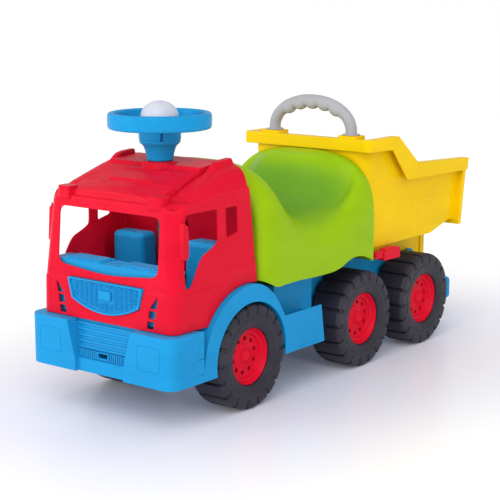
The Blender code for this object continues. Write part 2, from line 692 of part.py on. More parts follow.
def add_latch(finish):
    """A cross bar under the bucket's front edge, with a finger paddle at each end."""
    pivot = (0, LATCH_Y, LATCH_Z)
    bar = rod(LATCH_R, "x", pivot, -0.1330, 0.1330, 12)
    lever = add_piece("latch_lever", bar, finish, pivot)
    for side in (1, -1):
        neck = [(LATCH_Y - 0.006, 0.1725), (LATCH_Y + 0.024, 0.1695)]
        neck += [(LATCH_Y + 0.024, 0.1835), (LATCH_Y - 0.006, 0.1845)]
        pad = rounded([(0.3715, 0.1655), (0.4215, 0.1660), (0.4215, 0.1845), (0.3715, 0.1865)], 0.003, 2)
        join(lever, prism(neck, "x", *span(side, 0.1205, 0.1315)))
        join(lever, prism(pad, "x", *span(side, 0.1195, 0.1335)))
    return lever


# Rear end, pins and wheels

def add_rear_bumper(finish):
    outline = rounded([(-0.092, 0.043), (0.092, 0.043), (0.092, 0.084), (-0.092, 0.084)], 0.008)
    plate = add_piece("rear_bumper", prism(outline, "y", 0.6590, TAIL_Y), finish)
    join(plate, box((-0.060, 0.060), (CHASSIS_BACK + GAP, 0.6600), (0.0690, 0.1050)))
    for x in (-0.045, 0.045):
        cut(plate, screw_hole(x, 0.653))
    return plate


def add_hinge_pin(finish):
    pivot = (0, HINGE_Y, HINGE_Z)
    return add_piece("bucket_hinge_pin", rod(AXLE_R, "x", pivot, -0.0795, 0.0795), finish, pivot)


def tyre_ring(lug_r, groove_r, x):
    """One loop round a tyre: two points on each lug and one in the groove after it."""
    ring = []
    for lug in range(LUGS):
        for place, r in ((-0.30, lug_r), (0.30, lug_r), (0.50, groove_r)):
            angle = -pi / 2 + 2 * pi * (lug + place) / LUGS
            ring.append(Vector((x, r * cos(angle), AXLE_Z + r * sin(angle))))
    return ring


def add_tyre(name, side, station, finish):
    """A hollow tyre with lugs across its tread. One lug is centred straight down, flat on the ground."""
    mid = HALF_WIDTH - TYRE_WIDTH / 2
    half = TYRE_WIDTH / 2
    tread = TYRE_R / cos(pi * 0.60 / LUGS)
    groove = TYRE_R - 0.0035
    bead = BEAD_R / cos(pi * 0.4 / LUGS)
    # radius on a lug, radius in a groove, and how far across the tyre
    levels = [
        (bead, bead, -half + 0.003), (tread - 0.004, groove - 0.004, -half), (tread, groove, -half + 0.004),
        (tread, groove, half - 0.004), (tread - 0.004, groove - 0.004, half), (bead, bead, half - 0.003),
    ]
    bm = bmesh.new()
    rings = [[bm.verts.new(p) for p in tyre_ring(lug, low, mid + x)] for lug, low, x in levels]
    count = len(rings[0])
    for k in range(len(rings)):
        first, second = rings[k], rings[(k + 1) % len(rings)]
        for i in range(count):
            j = (i + 1) % count
            bm.faces.new((first[i], first[j], second[j], second[i]))
    bmesh.ops.recalc_face_normals(bm, faces=bm.faces)
    if side < 0:
        bmesh.ops.scale(bm, vec=(-1, 1, 1), verts=bm.verts)
        bmesh.ops.reverse_faces(bm, faces=bm.faces)
    moved(bm, (0, station, 0))
    tyre = add_piece(name, bm, finish, (side * mid, station, AXLE_Z))
    wall = 0.0045
    room = [(BEAD_R - 0.006, mid - half + wall), (TYRE_R - 0.0095, mid - half + wall),
            (TYRE_R - 0.0095, mid + half - wall), (BEAD_R - 0.006, mid + half - wall)]
    cut(tyre, turned([(r, side * x) for r, x in room], (0, station, AXLE_Z), "x", 12))
    return tyre


def add_rim(name, side, station, finish):
    outer = BEAD_R - 0.0005
    profile = [(outer, 0.0870), (outer, 0.1395), (0.0400, 0.1395), (0.0355, 0.1240), (0.0090, 0.1240),
               (0.0085, 0.1272), (BORE_R, 0.1272), (BORE_R, 0.0890), (0.0080, 0.0890),
               (0.0080, 0.1205), (0.0385, 0.1205), (0.0410, 0.0870)]
    if side < 0:
        profile = [(r, -x) for r, x in profile]
    centre = (0, station, AXLE_Z)
    bm = turned(profile, centre, "x", 14)
    return add_piece(name, bm, finish, (side * (HALF_WIDTH - TYRE_WIDTH / 2), station, AXLE_Z))


def add_cap(name, side, station, finish):
    profile = [(0, 0.1336), (0.0060, 0.1325), (0.0088, 0.1298), (0.0088, 0.1276), (0.0044, 0.1276),
               (0.0044, 0.1312), (0, 0.1312)]
    if side < 0:
        profile = [(r, -x) for r, x in profile]
    bm = turned(profile, (0, station, AXLE_Z), "x", 10)
    return add_piece(name, bm, finish, (side * 0.1276, station, AXLE_Z))


def add_wheels(black, red, steel):
    for place, station in AXLE_STATIONS.items():
        axle = rod(AXLE_R, "x", (0, station, AXLE_Z), -AXLE_END, AXLE_END)
        add_piece(f"axle_{place}", axle, steel, (0, station, AXLE_Z))
        for side, hand in ((1, "left"), (-1, "right")):
            add_tyre(f"tyre_{place}_{hand}", side, station, black)
            add_rim(f"rim_{place}_{hand}", side, station, red)
            add_cap(f"axle_cap_{place}_{hand}", side, station, red)


def main():
    clear_scene()
    red = plastic("red_plastic", (0.72, 0.010, 0.026))
    blue = plastic("blue_plastic", (0.035, 0.30, 0.72))
    green = plastic("green_plastic", (0.30, 0.54, 0.012))
    yellow = plastic("yellow_plastic", (0.95, 0.62, 0.001))
    grey = plastic("grey_plastic", (0.45, 0.45, 0.47))
    white = plastic("white_plastic", (0.80, 0.79, 0.86))
    black = plastic("tyre_plastic", (0.028, 0.024, 0.036), 0.6)
    rubber = plastic("bellows_rubber", (0.06, 0.06, 0.06), 0.7)
    steel = plastic("zinc_steel", (0.60, 0.61, 0.62), 0.3, 1.0)

    add_chassis(blue)
    add_bumper(blue)
    for side, hand in ((1, "left"), (-1, "right")):
        add_fender(f"fender_{hand}", side, blue)
        add_step_tray(f"step_tray_{hand}", side, blue)
        add_cab_seat(f"cab_seat_{hand}", side, blue)
    add_cab(red)
    add_grille(blue)
    add_dashboard(blue)
    add_saddle(green)
    add_rear_bumper(blue)
    for hand, x in (("left", 0.045), ("right", -0.045)):
        add_screw(f"bumper_screw_{hand}", x, -0.1467, -1, 0.007, steel)
        add_screw(f"rear_screw_{hand}", x, 0.6462, 1, 0.010, steel)
    add_hinge_pin(steel)

    add_steering(blue, white, steel, rubber)
    add_bucket(yellow)
    add_handle(grey)
    add_latch(red)
    add_wheels(black, red, steel)


main()
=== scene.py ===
"""Looks of the ride-on tipper truck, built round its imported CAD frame.

The truck faces -Y, its left side is +X, and it stands on z = 0. Shapes are drawn in stations: metres behind
the front axle along y. add_piece moves them to where the frame has that axle.
"""
from math import cos, exp, floor, hypot, pi, radians, sin, sqrt

import bmesh
import bpy
from mathutils import Matrix, Vector


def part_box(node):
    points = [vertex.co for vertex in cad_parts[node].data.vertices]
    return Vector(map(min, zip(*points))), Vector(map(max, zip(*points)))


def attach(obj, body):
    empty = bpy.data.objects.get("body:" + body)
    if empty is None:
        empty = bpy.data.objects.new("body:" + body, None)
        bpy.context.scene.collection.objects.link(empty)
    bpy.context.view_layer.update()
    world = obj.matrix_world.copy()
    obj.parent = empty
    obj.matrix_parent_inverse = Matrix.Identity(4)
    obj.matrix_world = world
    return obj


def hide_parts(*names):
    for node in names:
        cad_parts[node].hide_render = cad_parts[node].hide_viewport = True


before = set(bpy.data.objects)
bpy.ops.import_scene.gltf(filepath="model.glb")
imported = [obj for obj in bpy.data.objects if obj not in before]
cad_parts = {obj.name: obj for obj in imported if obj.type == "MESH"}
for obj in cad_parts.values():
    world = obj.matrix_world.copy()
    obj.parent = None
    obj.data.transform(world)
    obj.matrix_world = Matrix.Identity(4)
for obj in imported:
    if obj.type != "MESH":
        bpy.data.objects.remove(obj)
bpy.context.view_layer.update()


def centre_of(node):
    low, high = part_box(node)
    return (low + high) / 2


AXLES = {place: centre_of(f"axle_{place}") for place in ("front", "middle", "rear")}
SHIFT = AXLES["front"].y
HALF_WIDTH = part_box("tyre_front_left")[1].x
TYRE_R = AXLES["front"].z
STEERING = centre_of("steering_shaft") - Vector((0, SHIFT, 0))
SIDES = ((1, "left"), (-1, "right"))
SADDLE_POWER = 2.9


# Small mesh tools

def prism(outline, axis, low, high):
    """A flat outline drawn out along one axis. For x it is (y, z), for y (x, z) and for z (x, y)."""
    bm = bmesh.new()
    place = {
        "x": lambda p: (low, p[0], p[1]),
        "y": lambda p: (p[0], low, p[1]),
        "z": lambda p: (p[0], p[1], low),
    }[axis]
    face = bm.faces.new([bm.verts.new(place(p)) for p in outline])
    run = Vector({"x": (1, 0, 0), "y": (0, 1, 0), "z": (0, 0, 1)}[axis]) * (high - low)
    drawn = bmesh.ops.extrude_face_region(bm, geom=[face])["geom"]
    bmesh.ops.translate(bm, verts=[v for v in drawn if isinstance(v, bmesh.types.BMVert)], vec=run)
    bmesh.ops.recalc_face_normals(bm, faces=bm.faces)
    return bm


def rectangle(x, y):
    return [(x[0], y[0]), (x[1], y[0]), (x[1], y[1]), (x[0], y[1])]


def box(x, y, z):
    return prism(rectangle(x, y), "z", *z)


def mm(*points):
    """Points given in millimetres, in metres."""
    return [tuple(value / 1000 for value in point) for point in points]


def loft(rings, closed=False):
    """A closed solid through rings of equal point count. If closed, the last ring joins the first."""
    bm = bmesh.new()
    loops = [[bm.verts.new(p) for p in ring] for ring in rings]
    count = len(loops[0])
    pairs = list(zip(loops, loops[1:]))
    if closed:
        pairs.append((loops[-1], loops[0]))
    for first, second in pairs:
        for i in range(count):
            j = (i + 1) % count
            bm.faces.new((first[i], first[j], second[j], second[i]))
    if not closed:
        bm.faces.new(reversed(loops[0]))
        bm.faces.new(loops[-1])
    bmesh.ops.recalc_face_normals(bm, faces=bm.faces)
    return bm


def turned(profile, axis, segments, centre=(0, 0, 0)):
    """A (radius, along) profile turned round an axis. Points at radius 0 make a pole."""
    bm = bmesh.new()
    rings = []
    for r, a in profile:
        if r == 0:
            pole = Vector((a, 0, 0) if axis == "x" else (0, 0, a))
            rings.append([bm.verts.new(Vector(centre) + pole)])
            continue
        ring = []
        for k in range(segments):
            c = r * cos(2 * pi * k / segments)
            s = r * sin(2 * pi * k / segments)
            ring.append(bm.verts.new(Vector(centre) + Vector((a, c, s) if axis == "x" else (c, s, a))))
        rings.append(ring)
    for n, first in enumerate(rings):
        second = rings[(n + 1) % len(rings)]
        if len(first) == 1 and len(second) == 1:
            continue
        for i in range(segments):
            j = (i + 1) % segments
            corners = [first[i % len(first)], first[j % len(first)]]
            corners += [second[j % len(second)], second[i % len(second)]]
            bm.faces.new(list(dict.fromkeys(corners)))
    bmesh.ops.recalc_face_normals(bm, faces=bm.faces)
    return bm


def slab(grid, drop):
    """A closed sheet: grid is its upper face, as rows of points, and drop is the vector to its lower face."""
    bm = bmesh.new()
    tops = [[bm.verts.new(p) for p in row] for row in grid]
    lows = [[bm.verts.new(Vector(p) + Vector(drop)) for p in row] for row in grid]
    rows = len(grid)
    cols = len(grid[0])
    for layer in (tops, lows):
        for i in range(rows - 1):
            for j in range(cols - 1):
                bm.faces.new((layer[i][j], layer[i + 1][j], layer[i + 1][j + 1], layer[i][j + 1]))
    rim = [(i, 0) for i in range(rows)] + [(rows - 1, j) for j in range(1, cols)]
    rim += [(i, cols - 1) for i in range(rows - 2, -1, -1)] + [(0, j) for j in range(cols - 2, 0, -1)]
    for (a, b), (c, d) in zip(rim, rim[1:] + rim[:1]):
        bm.faces.new((tops[a][b], tops[c][d], lows[c][d], lows[a][b]))
    bmesh.ops.recalc_face_normals(bm, faces=bm.faces)
    return bm


def rod(radius, axis, centre, low, high, segments=24):
    """A round bar along an axis through centre, from low to high on that axis."""
    rings = []
    index = "xyz".index(axis)
    others = [k for k in range(3) if k != index]
    for level in (low, high):
        ring = []
        for k in range(segments):
            p = list(centre)
            p[index] = level
            p[others[0]] += radius * cos(2 * pi * k / segments)
            p[others[1]] += radius * sin(2 * pi * k / segments)
            ring.append(p)
        rings.append(ring)
    return loft(rings)


def arc(centre, radius, start, end, steps):
    angles = [radians(start + (end - start) * i / steps) for i in range(steps + 1)]
    return [(centre[0] + radius * cos(a), centre[1] + radius * sin(a)) for a in angles]


def rounded(corners, radius, steps=4):
    """The outline through these corners, with each corner turned into a small curve."""
    made = []
    radii = radius if isinstance(radius, (list, tuple)) else [radius] * len(corners)
    for i, corner in enumerate(corners):
        here = Vector(corner)
        first = here + (Vector(corners[i - 1]) - here).normalized() * radii[i]
        last = here + (Vector(corners[(i + 1) % len(corners)]) - here).normalized() * radii[i]
        for k in range(steps + 1):
            t = k / steps
            made.append(tuple((1 - t) ** 2 * first + 2 * t * (1 - t) * here + t * t * last))
    return made


def spline(points, steps, closed=False):
    """Points along a smooth curve through the given ones."""
    made = []
    count = len(points)
    last = count if closed else count - 1
    for i in range(last):
        if closed:
            a, b, c, d = (Vector(points[(i + k) % count]) for k in (-1, 0, 1, 2))
        else:
            a, b, c, d = (Vector(points[min(max(i + k, 0), count - 1)]) for k in (-1, 0, 1, 2))
        for k in range(steps):
            t = k / steps
            made.append(tuple(0.5 * (2 * b + (c - a) * t + (2 * a - 5 * b + 4 * c - d) * t * t
                                     + (3 * b - a - 3 * c + d) * t ** 3)))
    if not closed:
        made.append(tuple(points[-1]))
    return made


def arch(half, power, steps):
    """(x, height) points over a super-ellipse arch, one unit high, from its left foot to its right one."""
    made = []
    for k in range(steps + 1):
        t = pi * k / steps
        x = half * abs(cos(t)) ** (2 / power)
        up = sin(t) ** (2 / power) if 0 < k < steps else 0
        made.append((x if t < pi / 2 else -x, up))
    return made


def along(points, x):
    """The height at x of a line through (x, height) points."""
    if x <= points[0][0]:
        return points[0][1]
    for (x0, y0), (x1, y1) in zip(points, points[1:]):
        if x <= x1:
            return y0 + (y1 - y0) * (x - x0) / (x1 - x0)
    return points[-1][1]


def smooth(t):
    t = min(max(t, 0.0), 1.0)
    return t * t * (3 - 2 * t)


def span(side, low, high):
    return (low, high) if side > 0 else (-high, -low)


def merged(*parts):
    """Several closed shapes in one bmesh."""
    whole = parts[0]
    for part in parts[1:]:
        spare = bpy.data.meshes.new("spare")
        part.to_mesh(spare)
        whole.from_mesh(spare)
        bpy.data.meshes.remove(spare)
        part.free()
    return whole


def turned_about(bm, angle, axis, centre=(0, 0, 0)):
    bmesh.ops.rotate(bm, verts=bm.verts, cent=Vector(centre), matrix=Matrix.Rotation(radians(angle), 3, axis))
    return bm


def moved(bm, offset):
    bmesh.ops.translate(bm, verts=bm.verts, vec=Vector(offset))
    return bm


def mirrored(bm):
    bmesh.ops.scale(bm, vec=(-1, 1, 1), verts=bm.verts)
    bmesh.ops.reverse_faces(bm, faces=bm.faces)
    return bm


def linked(name, data):
    made = bpy.data.objects.new(name, data)
    bpy.context.scene.collection.objects.link(made)
    return made


def as_mesh(bm, name):
    mesh = bpy.data.meshes.new(name)
    bm.to_mesh(mesh)
    bm.free()
    return mesh


def loose_object(bm, name):
    return linked(name, as_mesh(bm, name))


def settled(base, helpers=()):
    """The mesh that an object's modifiers make, as a bmesh. The objects are removed."""
    bpy.context.view_layer.update()
    graph = bpy.context.evaluated_depsgraph_get()
    mesh = bpy.data.meshes.new_from_object(base.evaluated_get(graph))
    bm = bmesh.new()
    bm.from_mesh(mesh)
    bpy.data.meshes.remove(mesh)
    for item in (base, *helpers):
        data = item.data
        bpy.data.objects.remove(item)
        bpy.data.meshes.remove(data)
    return bm


def planar(bm):
    """The shape with its curved four-sided faces split, so that every face is flat."""
    bmesh.ops.remove_doubles(bm, verts=bm.verts, dist=1e-6)
    bmesh.ops.triangulate(bm, faces=bm.faces)
    return bm


def combined(bm, shapes, operation):
    base = loose_object(planar(bm), "base")
    helpers = []
    for number, shape in enumerate(shapes):
        helper = loose_object(planar(shape), f"helper_{number}")
        modifier = base.modifiers.new(f"{operation} {number}", "BOOLEAN")
        modifier.operation = operation
        modifier.solver = "EXACT"
        modifier.object = helper
        helpers.append(helper)
    return settled(base, helpers)


def cut(bm, *shapes):
    return combined(bm, shapes, "DIFFERENCE")


def softened(bm, width, segments=2, angle=30):
    """The shape with its edges rounded."""
    bmesh.ops.remove_doubles(bm, verts=bm.verts, dist=2e-6)
    bmesh.ops.dissolve_limit(bm, angle_limit=radians(0.4), verts=bm.verts, edges=bm.edges)
    base = loose_object(bm, "base")
    bevel = base.modifiers.new("soft edges", "BEVEL")
    bevel.width = width
    bevel.segments = segments
    bevel.limit_method = "ANGLE"
    bevel.angle_limit = radians(angle)
    bevel.use_clamp_overlap = False
    bevel.miter_outer = "MITER_ARC"
    return settled(base)


def soft_parts(width, segments, *shapes):
    """Closed shapes that run into each other, each with its edges rounded."""
    return merged(*[softened(shape, width, segments) for shape in shapes])


def add_piece(name, bm, slot, body, *nodes, flat_weight=True):
    """Place a finished shape, given in stations, on its body, in the material of its slot."""
    bmesh.ops.translate(bm, verts=bm.verts, vec=(0, SHIFT, 0))
    made = loose_object(bm, name)
    made.data.shade_smooth()
    made.data.set_sharp_from_angle(angle=radians(42))
    if flat_weight:
        weighted = made.modifiers.new("even shading", "WEIGHTED_NORMAL")
        weighted.keep_sharp = True
        weighted.weight = 80
    made.data.materials.append(MATERIALS[slot])
    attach(made, body)
    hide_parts(*nodes)
    return made


# Materials, by name

MATERIALS = {}


def connect(tree, value, socket):
    """Give a socket a value, or link another node's output to it."""
    if isinstance(value, bpy.types.NodeSocket):
        tree.links.new(value, socket)
    else:
        socket.default_value = value


def add_node(tree, kind, **inputs):
    """A new shader node. Its inputs are values, or the outputs of other nodes."""
    made = tree.nodes.new("ShaderNode" + kind)
    for name, value in inputs.items():
        connect(tree, value, made.inputs[name.replace("_", " ")])
    return made


def map_range(tree, source, low, high, to_low, to_high):
    return add_node(tree, "MapRange", Value=source,
                    From_Min=low, From_Max=high, To_Min=to_low, To_Max=to_high)


def add_ramp(tree, source, *stops):
    """A ramp between two (position, colour) stops."""
    made = add_node(tree, "ValToRGB", Fac=source)
    for element, (position, colour) in zip(made.color_ramp.elements, stops):
        element.position = position
        element.color = (*colour, 1)
    return made


def mix_colours(tree, factor, first, second):
    made = tree.nodes.new("ShaderNodeMix")
    made.data_type = "RGBA"
    for name, value in (("Factor", factor), ("A", first), ("B", (*second, 1))):
        connect(tree, value, made.inputs[name])
    return made.outputs["Result"]


def moulded(name, colour, roughness=(0.24, 0.32), grain=0.00012, drift=0.05, edge=0.16, specular=0.06,
            texture=900.0):
    """Moulded plastic: faint colour drift and flow marks, a fine grained skin, and a painted highlight that
    makes sharp edges slightly paler.
    """
    made = bpy.data.materials.new(name)
    made.use_nodes = True
    tree = made.node_tree
    place = add_node(tree, "TexCoord").outputs["Object"]

    def noise(scale, detail, stretch=(1, 1, 1)):
        mapping = add_node(tree, "Mapping", Vector=place, Scale=stretch)
        cloud = add_node(tree, "TexNoise", Vector=mapping.outputs["Vector"], Scale=scale, Detail=detail)
        return cloud.outputs["Fac"]

    dark = [c * (1 - drift) for c in colour]
    light = [min(c * (1 + drift) + 0.01 * drift, 1) for c in colour]
    body = add_ramp(tree, noise(11.0, 4.0, (1, 1, 2.5)), (0.32, dark), (0.68, light))
    # Painted highlight: convex edges, found by pointiness, are mixed towards a paler colour.
    pointiness = add_node(tree, "NewGeometry").outputs["Pointiness"]
    edge_highlight = map_range(tree, pointiness, 0.515, 0.62, 0.0, edge)
    highlighted_colour = mix_colours(tree, edge_highlight.outputs["Result"], body.outputs["Color"], [c * 0.92 + 0.04 for c in colour])
    gloss = map_range(tree, noise(70.0, 5.0), 0.30, 0.70, *roughness)
    waves = add_node(tree, "Bump", Strength=0.25, Distance=0.0006, Height=noise(26.0, 1.0))
    skin = add_node(tree, "Bump", Strength=0.35, Distance=grain, Height=noise(texture, 3.0),
                    Normal=waves.outputs["Normal"])
    shader = tree.nodes["Principled BSDF"]
    for socket, value in (("IOR", 1.47), ("Specular IOR Level", specular), ("Base Color", highlighted_colour),
                          ("Roughness", gloss.outputs["Result"]), ("Normal", skin.outputs["Normal"])):
        connect(tree, value, shader.inputs[socket])
    MATERIALS[name] = made


def paint_dip_shade(material, colour):
    """Painted shade: darken the saddle's seat towards its deepest part, inside the arch of its highest
    section, where shade falls in the bowl.
    """
    tree = material.node_tree

    def figure(operation, first, second=0.0):
        made = tree.nodes.new("ShaderNodeMath")
        made.operation = operation
        connect(tree, first, made.inputs[0])
        connect(tree, second, made.inputs[1])
        return made.outputs["Value"]

    half_width = 0.1405
    shoulder = 0.236
    arch_rise = 0.116
    split = add_node(tree, "SeparateXYZ", Vector=add_node(tree, "TexCoord").outputs["Object"])
    across = figure("DIVIDE", figure("ABSOLUTE", split.outputs["X"]), half_width)
    above = figure("MAXIMUM", figure("SUBTRACT", split.outputs["Z"], shoulder), 0.0)
    upward = figure("DIVIDE", above, arch_rise)
    height = figure("ADD", figure("POWER", across, SADDLE_POWER), figure("POWER", upward, SADDLE_POWER))
    # The mask of the painted shade: 0 at the seat's rim, 1 deep in the dip.
    depth = map_range(tree, height, 0.96, 0.30, 0.0, 1.0)
    depth.interpolation_type = "SMOOTHSTEP"
    base = tree.nodes["Principled BSDF"].inputs["Base Color"]
    connect(tree, mix_colours(tree, depth.outputs["Result"], base.links[0].from_socket, colour), base)


def plated(name, colour):
    """Plated steel: a metal with a very fine grain, a mottled gloss and no painted edge highlight."""
    moulded(name, colour, (0.22, 0.42), 0.00008, 0.10, 0.0, 0.5, 1500.0)
    MATERIALS[name].node_tree.nodes["Principled BSDF"].inputs["Metallic"].default_value = 1.0


moulded("red_plastic", (0.720, 0.0060, 0.0290))
moulded("blue_plastic", (0.012, 0.300, 0.640))
moulded("green_plastic", (0.305, 0.520, 0.0060), (0.22, 0.30), 0.00016, 0.05, 0.05)
# Painted shade in the saddle's seat: its dip turns a darker green.
paint_dip_shade(MATERIALS["green_plastic"], (0.150, 0.350, 0.024))
moulded("yellow_plastic", (0.920, 0.600, 0.0010))
moulded("grey_plastic", (0.400, 0.400, 0.425), (0.40, 0.52), 0.00022, 0.05, 0.10, 0.3)
moulded("white_plastic", (0.620, 0.650, 0.740), (0.24, 0.32), specular=0.4)
moulded("tyre_plastic", (0.024, 0.022, 0.034), (0.40, 0.55), 0.00030, 0.20, 0.05, 0.30, 650.0)
moulded("bellows_rubber", (0.045, 0.045, 0.048), (0.60, 0.75), 0.0003, 0.15, 0.05)
plated("zinc_steel", (0.60, 0.61, 0.62))
plated("blacked_steel", (0.085, 0.055, 0.055))


# Cab

EAVE = mm((-166, 321.2), (-150, 323), (-102, 329), (-50, 334), (-11, 336.6), (0, 335.8), (12, 333))
EAVE_HALF = 0.1283
EAVE_FRONT = -0.1550
EAVE_BACK = 0.0110
EAVE_CORNER = 0.027
FOOT_CORNER = 0.017
BACK_CORNER = 0.004
EAVE_ROUND = 0.0028


def eave_height(x, y):
    """The line where walls and roof meet. It falls away at the cab's front corners."""
    beside = max((abs(x) - 0.100) / 0.0283, 0)
    ahead = max((-0.131 - y) / 0.024, 0)
    return along(EAVE, y) - 0.0115 * smooth(1.5 * beside * ahead)


def plan_ring(half, front, back, z, front_r=EAVE_CORNER, back_r=BACK_CORNER, steps=10):
    """A horizontal outline of the cab with rounded corners. z is a height, or a function of x and y."""
    plan = arc((half - front_r, front + front_r), front_r, -90, 0, steps)
    plan += arc((half - back_r, back - back_r), back_r, 0, 90, 4)
    plan += arc((-half + back_r, back - back_r), back_r, 90, 180, 4)
    plan += arc((-half + front_r, front + front_r), front_r, 180, 270, steps)
    return [(x, y, z(x, y) if callable(z) else z) for x, y in plan]


def eave_ring(inset, drop):
    """The cab's outline just below the roof."""
    return plan_ring(EAVE_HALF - inset, EAVE_FRONT + inset, EAVE_BACK - inset,
                     lambda x, y: eave_height(x, y) - drop)


def cab_walls():
    outer = loft([
        plan_ring(0.1320, -0.1665, 0.0290, 0.1432, FOOT_CORNER),
        plan_ring(0.1320, -0.1651, 0.0237, 0.1980, FOOT_CORNER),
        plan_ring(0.1312, -0.1642, 0.0235, 0.1990, FOOT_CORNER),
        eave_ring(0, EAVE_ROUND),
        eave_ring(0.002, 0.0008),
    ])
    inner = loft([
        plan_ring(0.1288, -0.1632, 0.0256, 0.1200, FOOT_CORNER),
        plan_ring(0.1283, -0.1618, 0.0206, 0.1990, FOOT_CORNER),
        plan_ring(0.1252, -0.1515, 0.0080, 0.3240),
        plan_ring(0.1246, -0.1508, 0.0074, 0.3800),
    ])
    door = mm((-134.8, 309.2), (-135.8, 306.5), (-135.8, 302), (-134.8, 298.5), (-134, 292), (-134, 258),
              (-135.2, 250), (-139.8, 246.2), (-141.5, 241), (-141, 225), (-139.8, 211), (-138, 206.2),
              (-134, 205), (-129, 206.8), (-125, 210.5), (-118, 221.5), (-111.5, 232.5), (-104, 243),
              (-96, 249), (-84, 253.5), (-71, 259.5), (-66.2, 265), (-65.8, 280), (-66, 306),
              (-68, 309.8), (-75, 310.3), (-80, 310.3), (-127, 310.3), (-132.2, 310.3))
    quarter = rounded([(-0.0476, 0.3095), (-0.0205, 0.3092), (-0.0195, 0.2720), (-0.0462, 0.2658)], 0.0028, 4)
    screen = rounded(mm((-98, 306), (98, 306), (98, 221.5), (0, 212), (-98, 221.5)),
                     [0.012, 0.012, 0.014, 0.040, 0.014], 6)
    walls = cut(outer, inner)
    walls = cut(walls, prism(screen, "y", -0.19, -0.13))
    walls = cut(walls, prism(spline(door, 2, True), "x", -0.16, 0.16))
    walls = cut(walls, prism(quarter, "x", -0.16, 0.16))
    walls = cut(walls, prism(grille_outline(0.0003), "y", -0.19, -0.15))
    walls = cut(walls, rod(0.1116, "x", (0, 0, TYRE_R), -0.16, 0.16, 96))
    return cut(walls, *[slot for side in (1, -1) for slot in headlight_slots(side)])


def cab_trim():
    """The raised parts of the cab walls: marker lamps, mirror housings and the panels behind the doors."""
    parts = []
    for side in (1, -1):
        plan = rounded(rectangle((0.0765, 0.1020), (-0.1592, -0.1380)), [0.003, 0.010, 0.003, 0.003], 6)
        lamp = prism(plan, "z", 0.3170, 0.3355)
        outline = rounded(mm((-147.5, 247.5), (-136.2, 249), (-133.8, 258), (-133.8, 293), (-137, 300),
                             (-145, 300.5)), [0.004, 0.003, 0.006, 0.006, 0.004, 0.004], 2)
        mirror = prism(outline, "x", 0.1255, 0.1322)
        for v in mirror.verts:
            if v.co.x > 0.13:
                v.co.x += 0.0014 * (0.3020 - v.co.z) / 0.055
            else:
                v.co.x -= 0.0040 * smooth((-0.1380 - v.co.y) / 0.010)
        outline = mm((-55.5, 192.5), (-55.5, 216.8), (15, 221.3), (20, 221.3), (21.8, 192.5))
        panel = prism(outline, "x", 0.1290, 0.1319)
        for v in panel.verts:
            if v.co.x > 0.13:
                v.co.x -= 0.0208 * max(v.co.z - 0.1990, 0)
        parts += [shape if side > 0 else mirrored(shape) for shape in (lamp, mirror, panel)]
    return soft_parts(0.0011, 3, *parts)


def grille_outline(grow=0.0, sag=12):
    """A smile-shaped outline in (x, z): a straight top, short sides and a sagging bottom edge."""
    half = 0.066 + grow
    bottom = []
    for k in range(2 * sag + 1):
        x = half * (1 - k / sag)
        bottom.append((x, 0.1560 - grow + 0.017 * (x / half) ** 2))
    corner = [(0.0705 + grow, 0.2034 + grow), (0.0726 + grow, 0.2027 + grow), (0.0734 + grow, 0.2010)]
    return [(-x, z) for x, z in reversed(corner)] + corner + bottom


def headlight_slots(side):
    """Three openings in a column that leans in as it goes down. The top one is a triangle."""
    width = 0.0125
    slots = []
    for low, high, top_width in ((0.177, 0.193, 0.002), (0.162, 0.1735, width), (0.147, 0.158, width)):
        outer_low, outer_high = (0.1005 - 0.0065 * (0.193 - z) / 0.035 for z in (low, high))
        corners = [(outer_low, low), (outer_high, high)]
        corners += [(outer_high - top_width, high), (outer_low - width, low)]
        slots.append(prism([(side * x, z) for x, z in corners], "y", -0.19, -0.155))
    return slots


ROOF_LINE = mm((-155, 331), (-149, 334), (-140, 338.5), (-111, 349), (-75, 359.7), (-60, 364),
               (-30, 366.8), (0, 369.5), (11, 369.7))
WING_LINE = mm((-130, 327), (-122, 330), (-113.9, 332.5), (-103.6, 338.3), (-83.1, 346.5), (-51.4, 357.4),
               (-35, 362), (-20, 365.2), (0, 366.5), (11, 366.5))
PANEL_HALF = 0.0905


def lip_at(x):
    """Where the dished roof panel begins, at this distance from the truck's middle."""
    return -0.1405 + 0.0260 * (min(abs(x), 0.062) / 0.062) ** 1.5


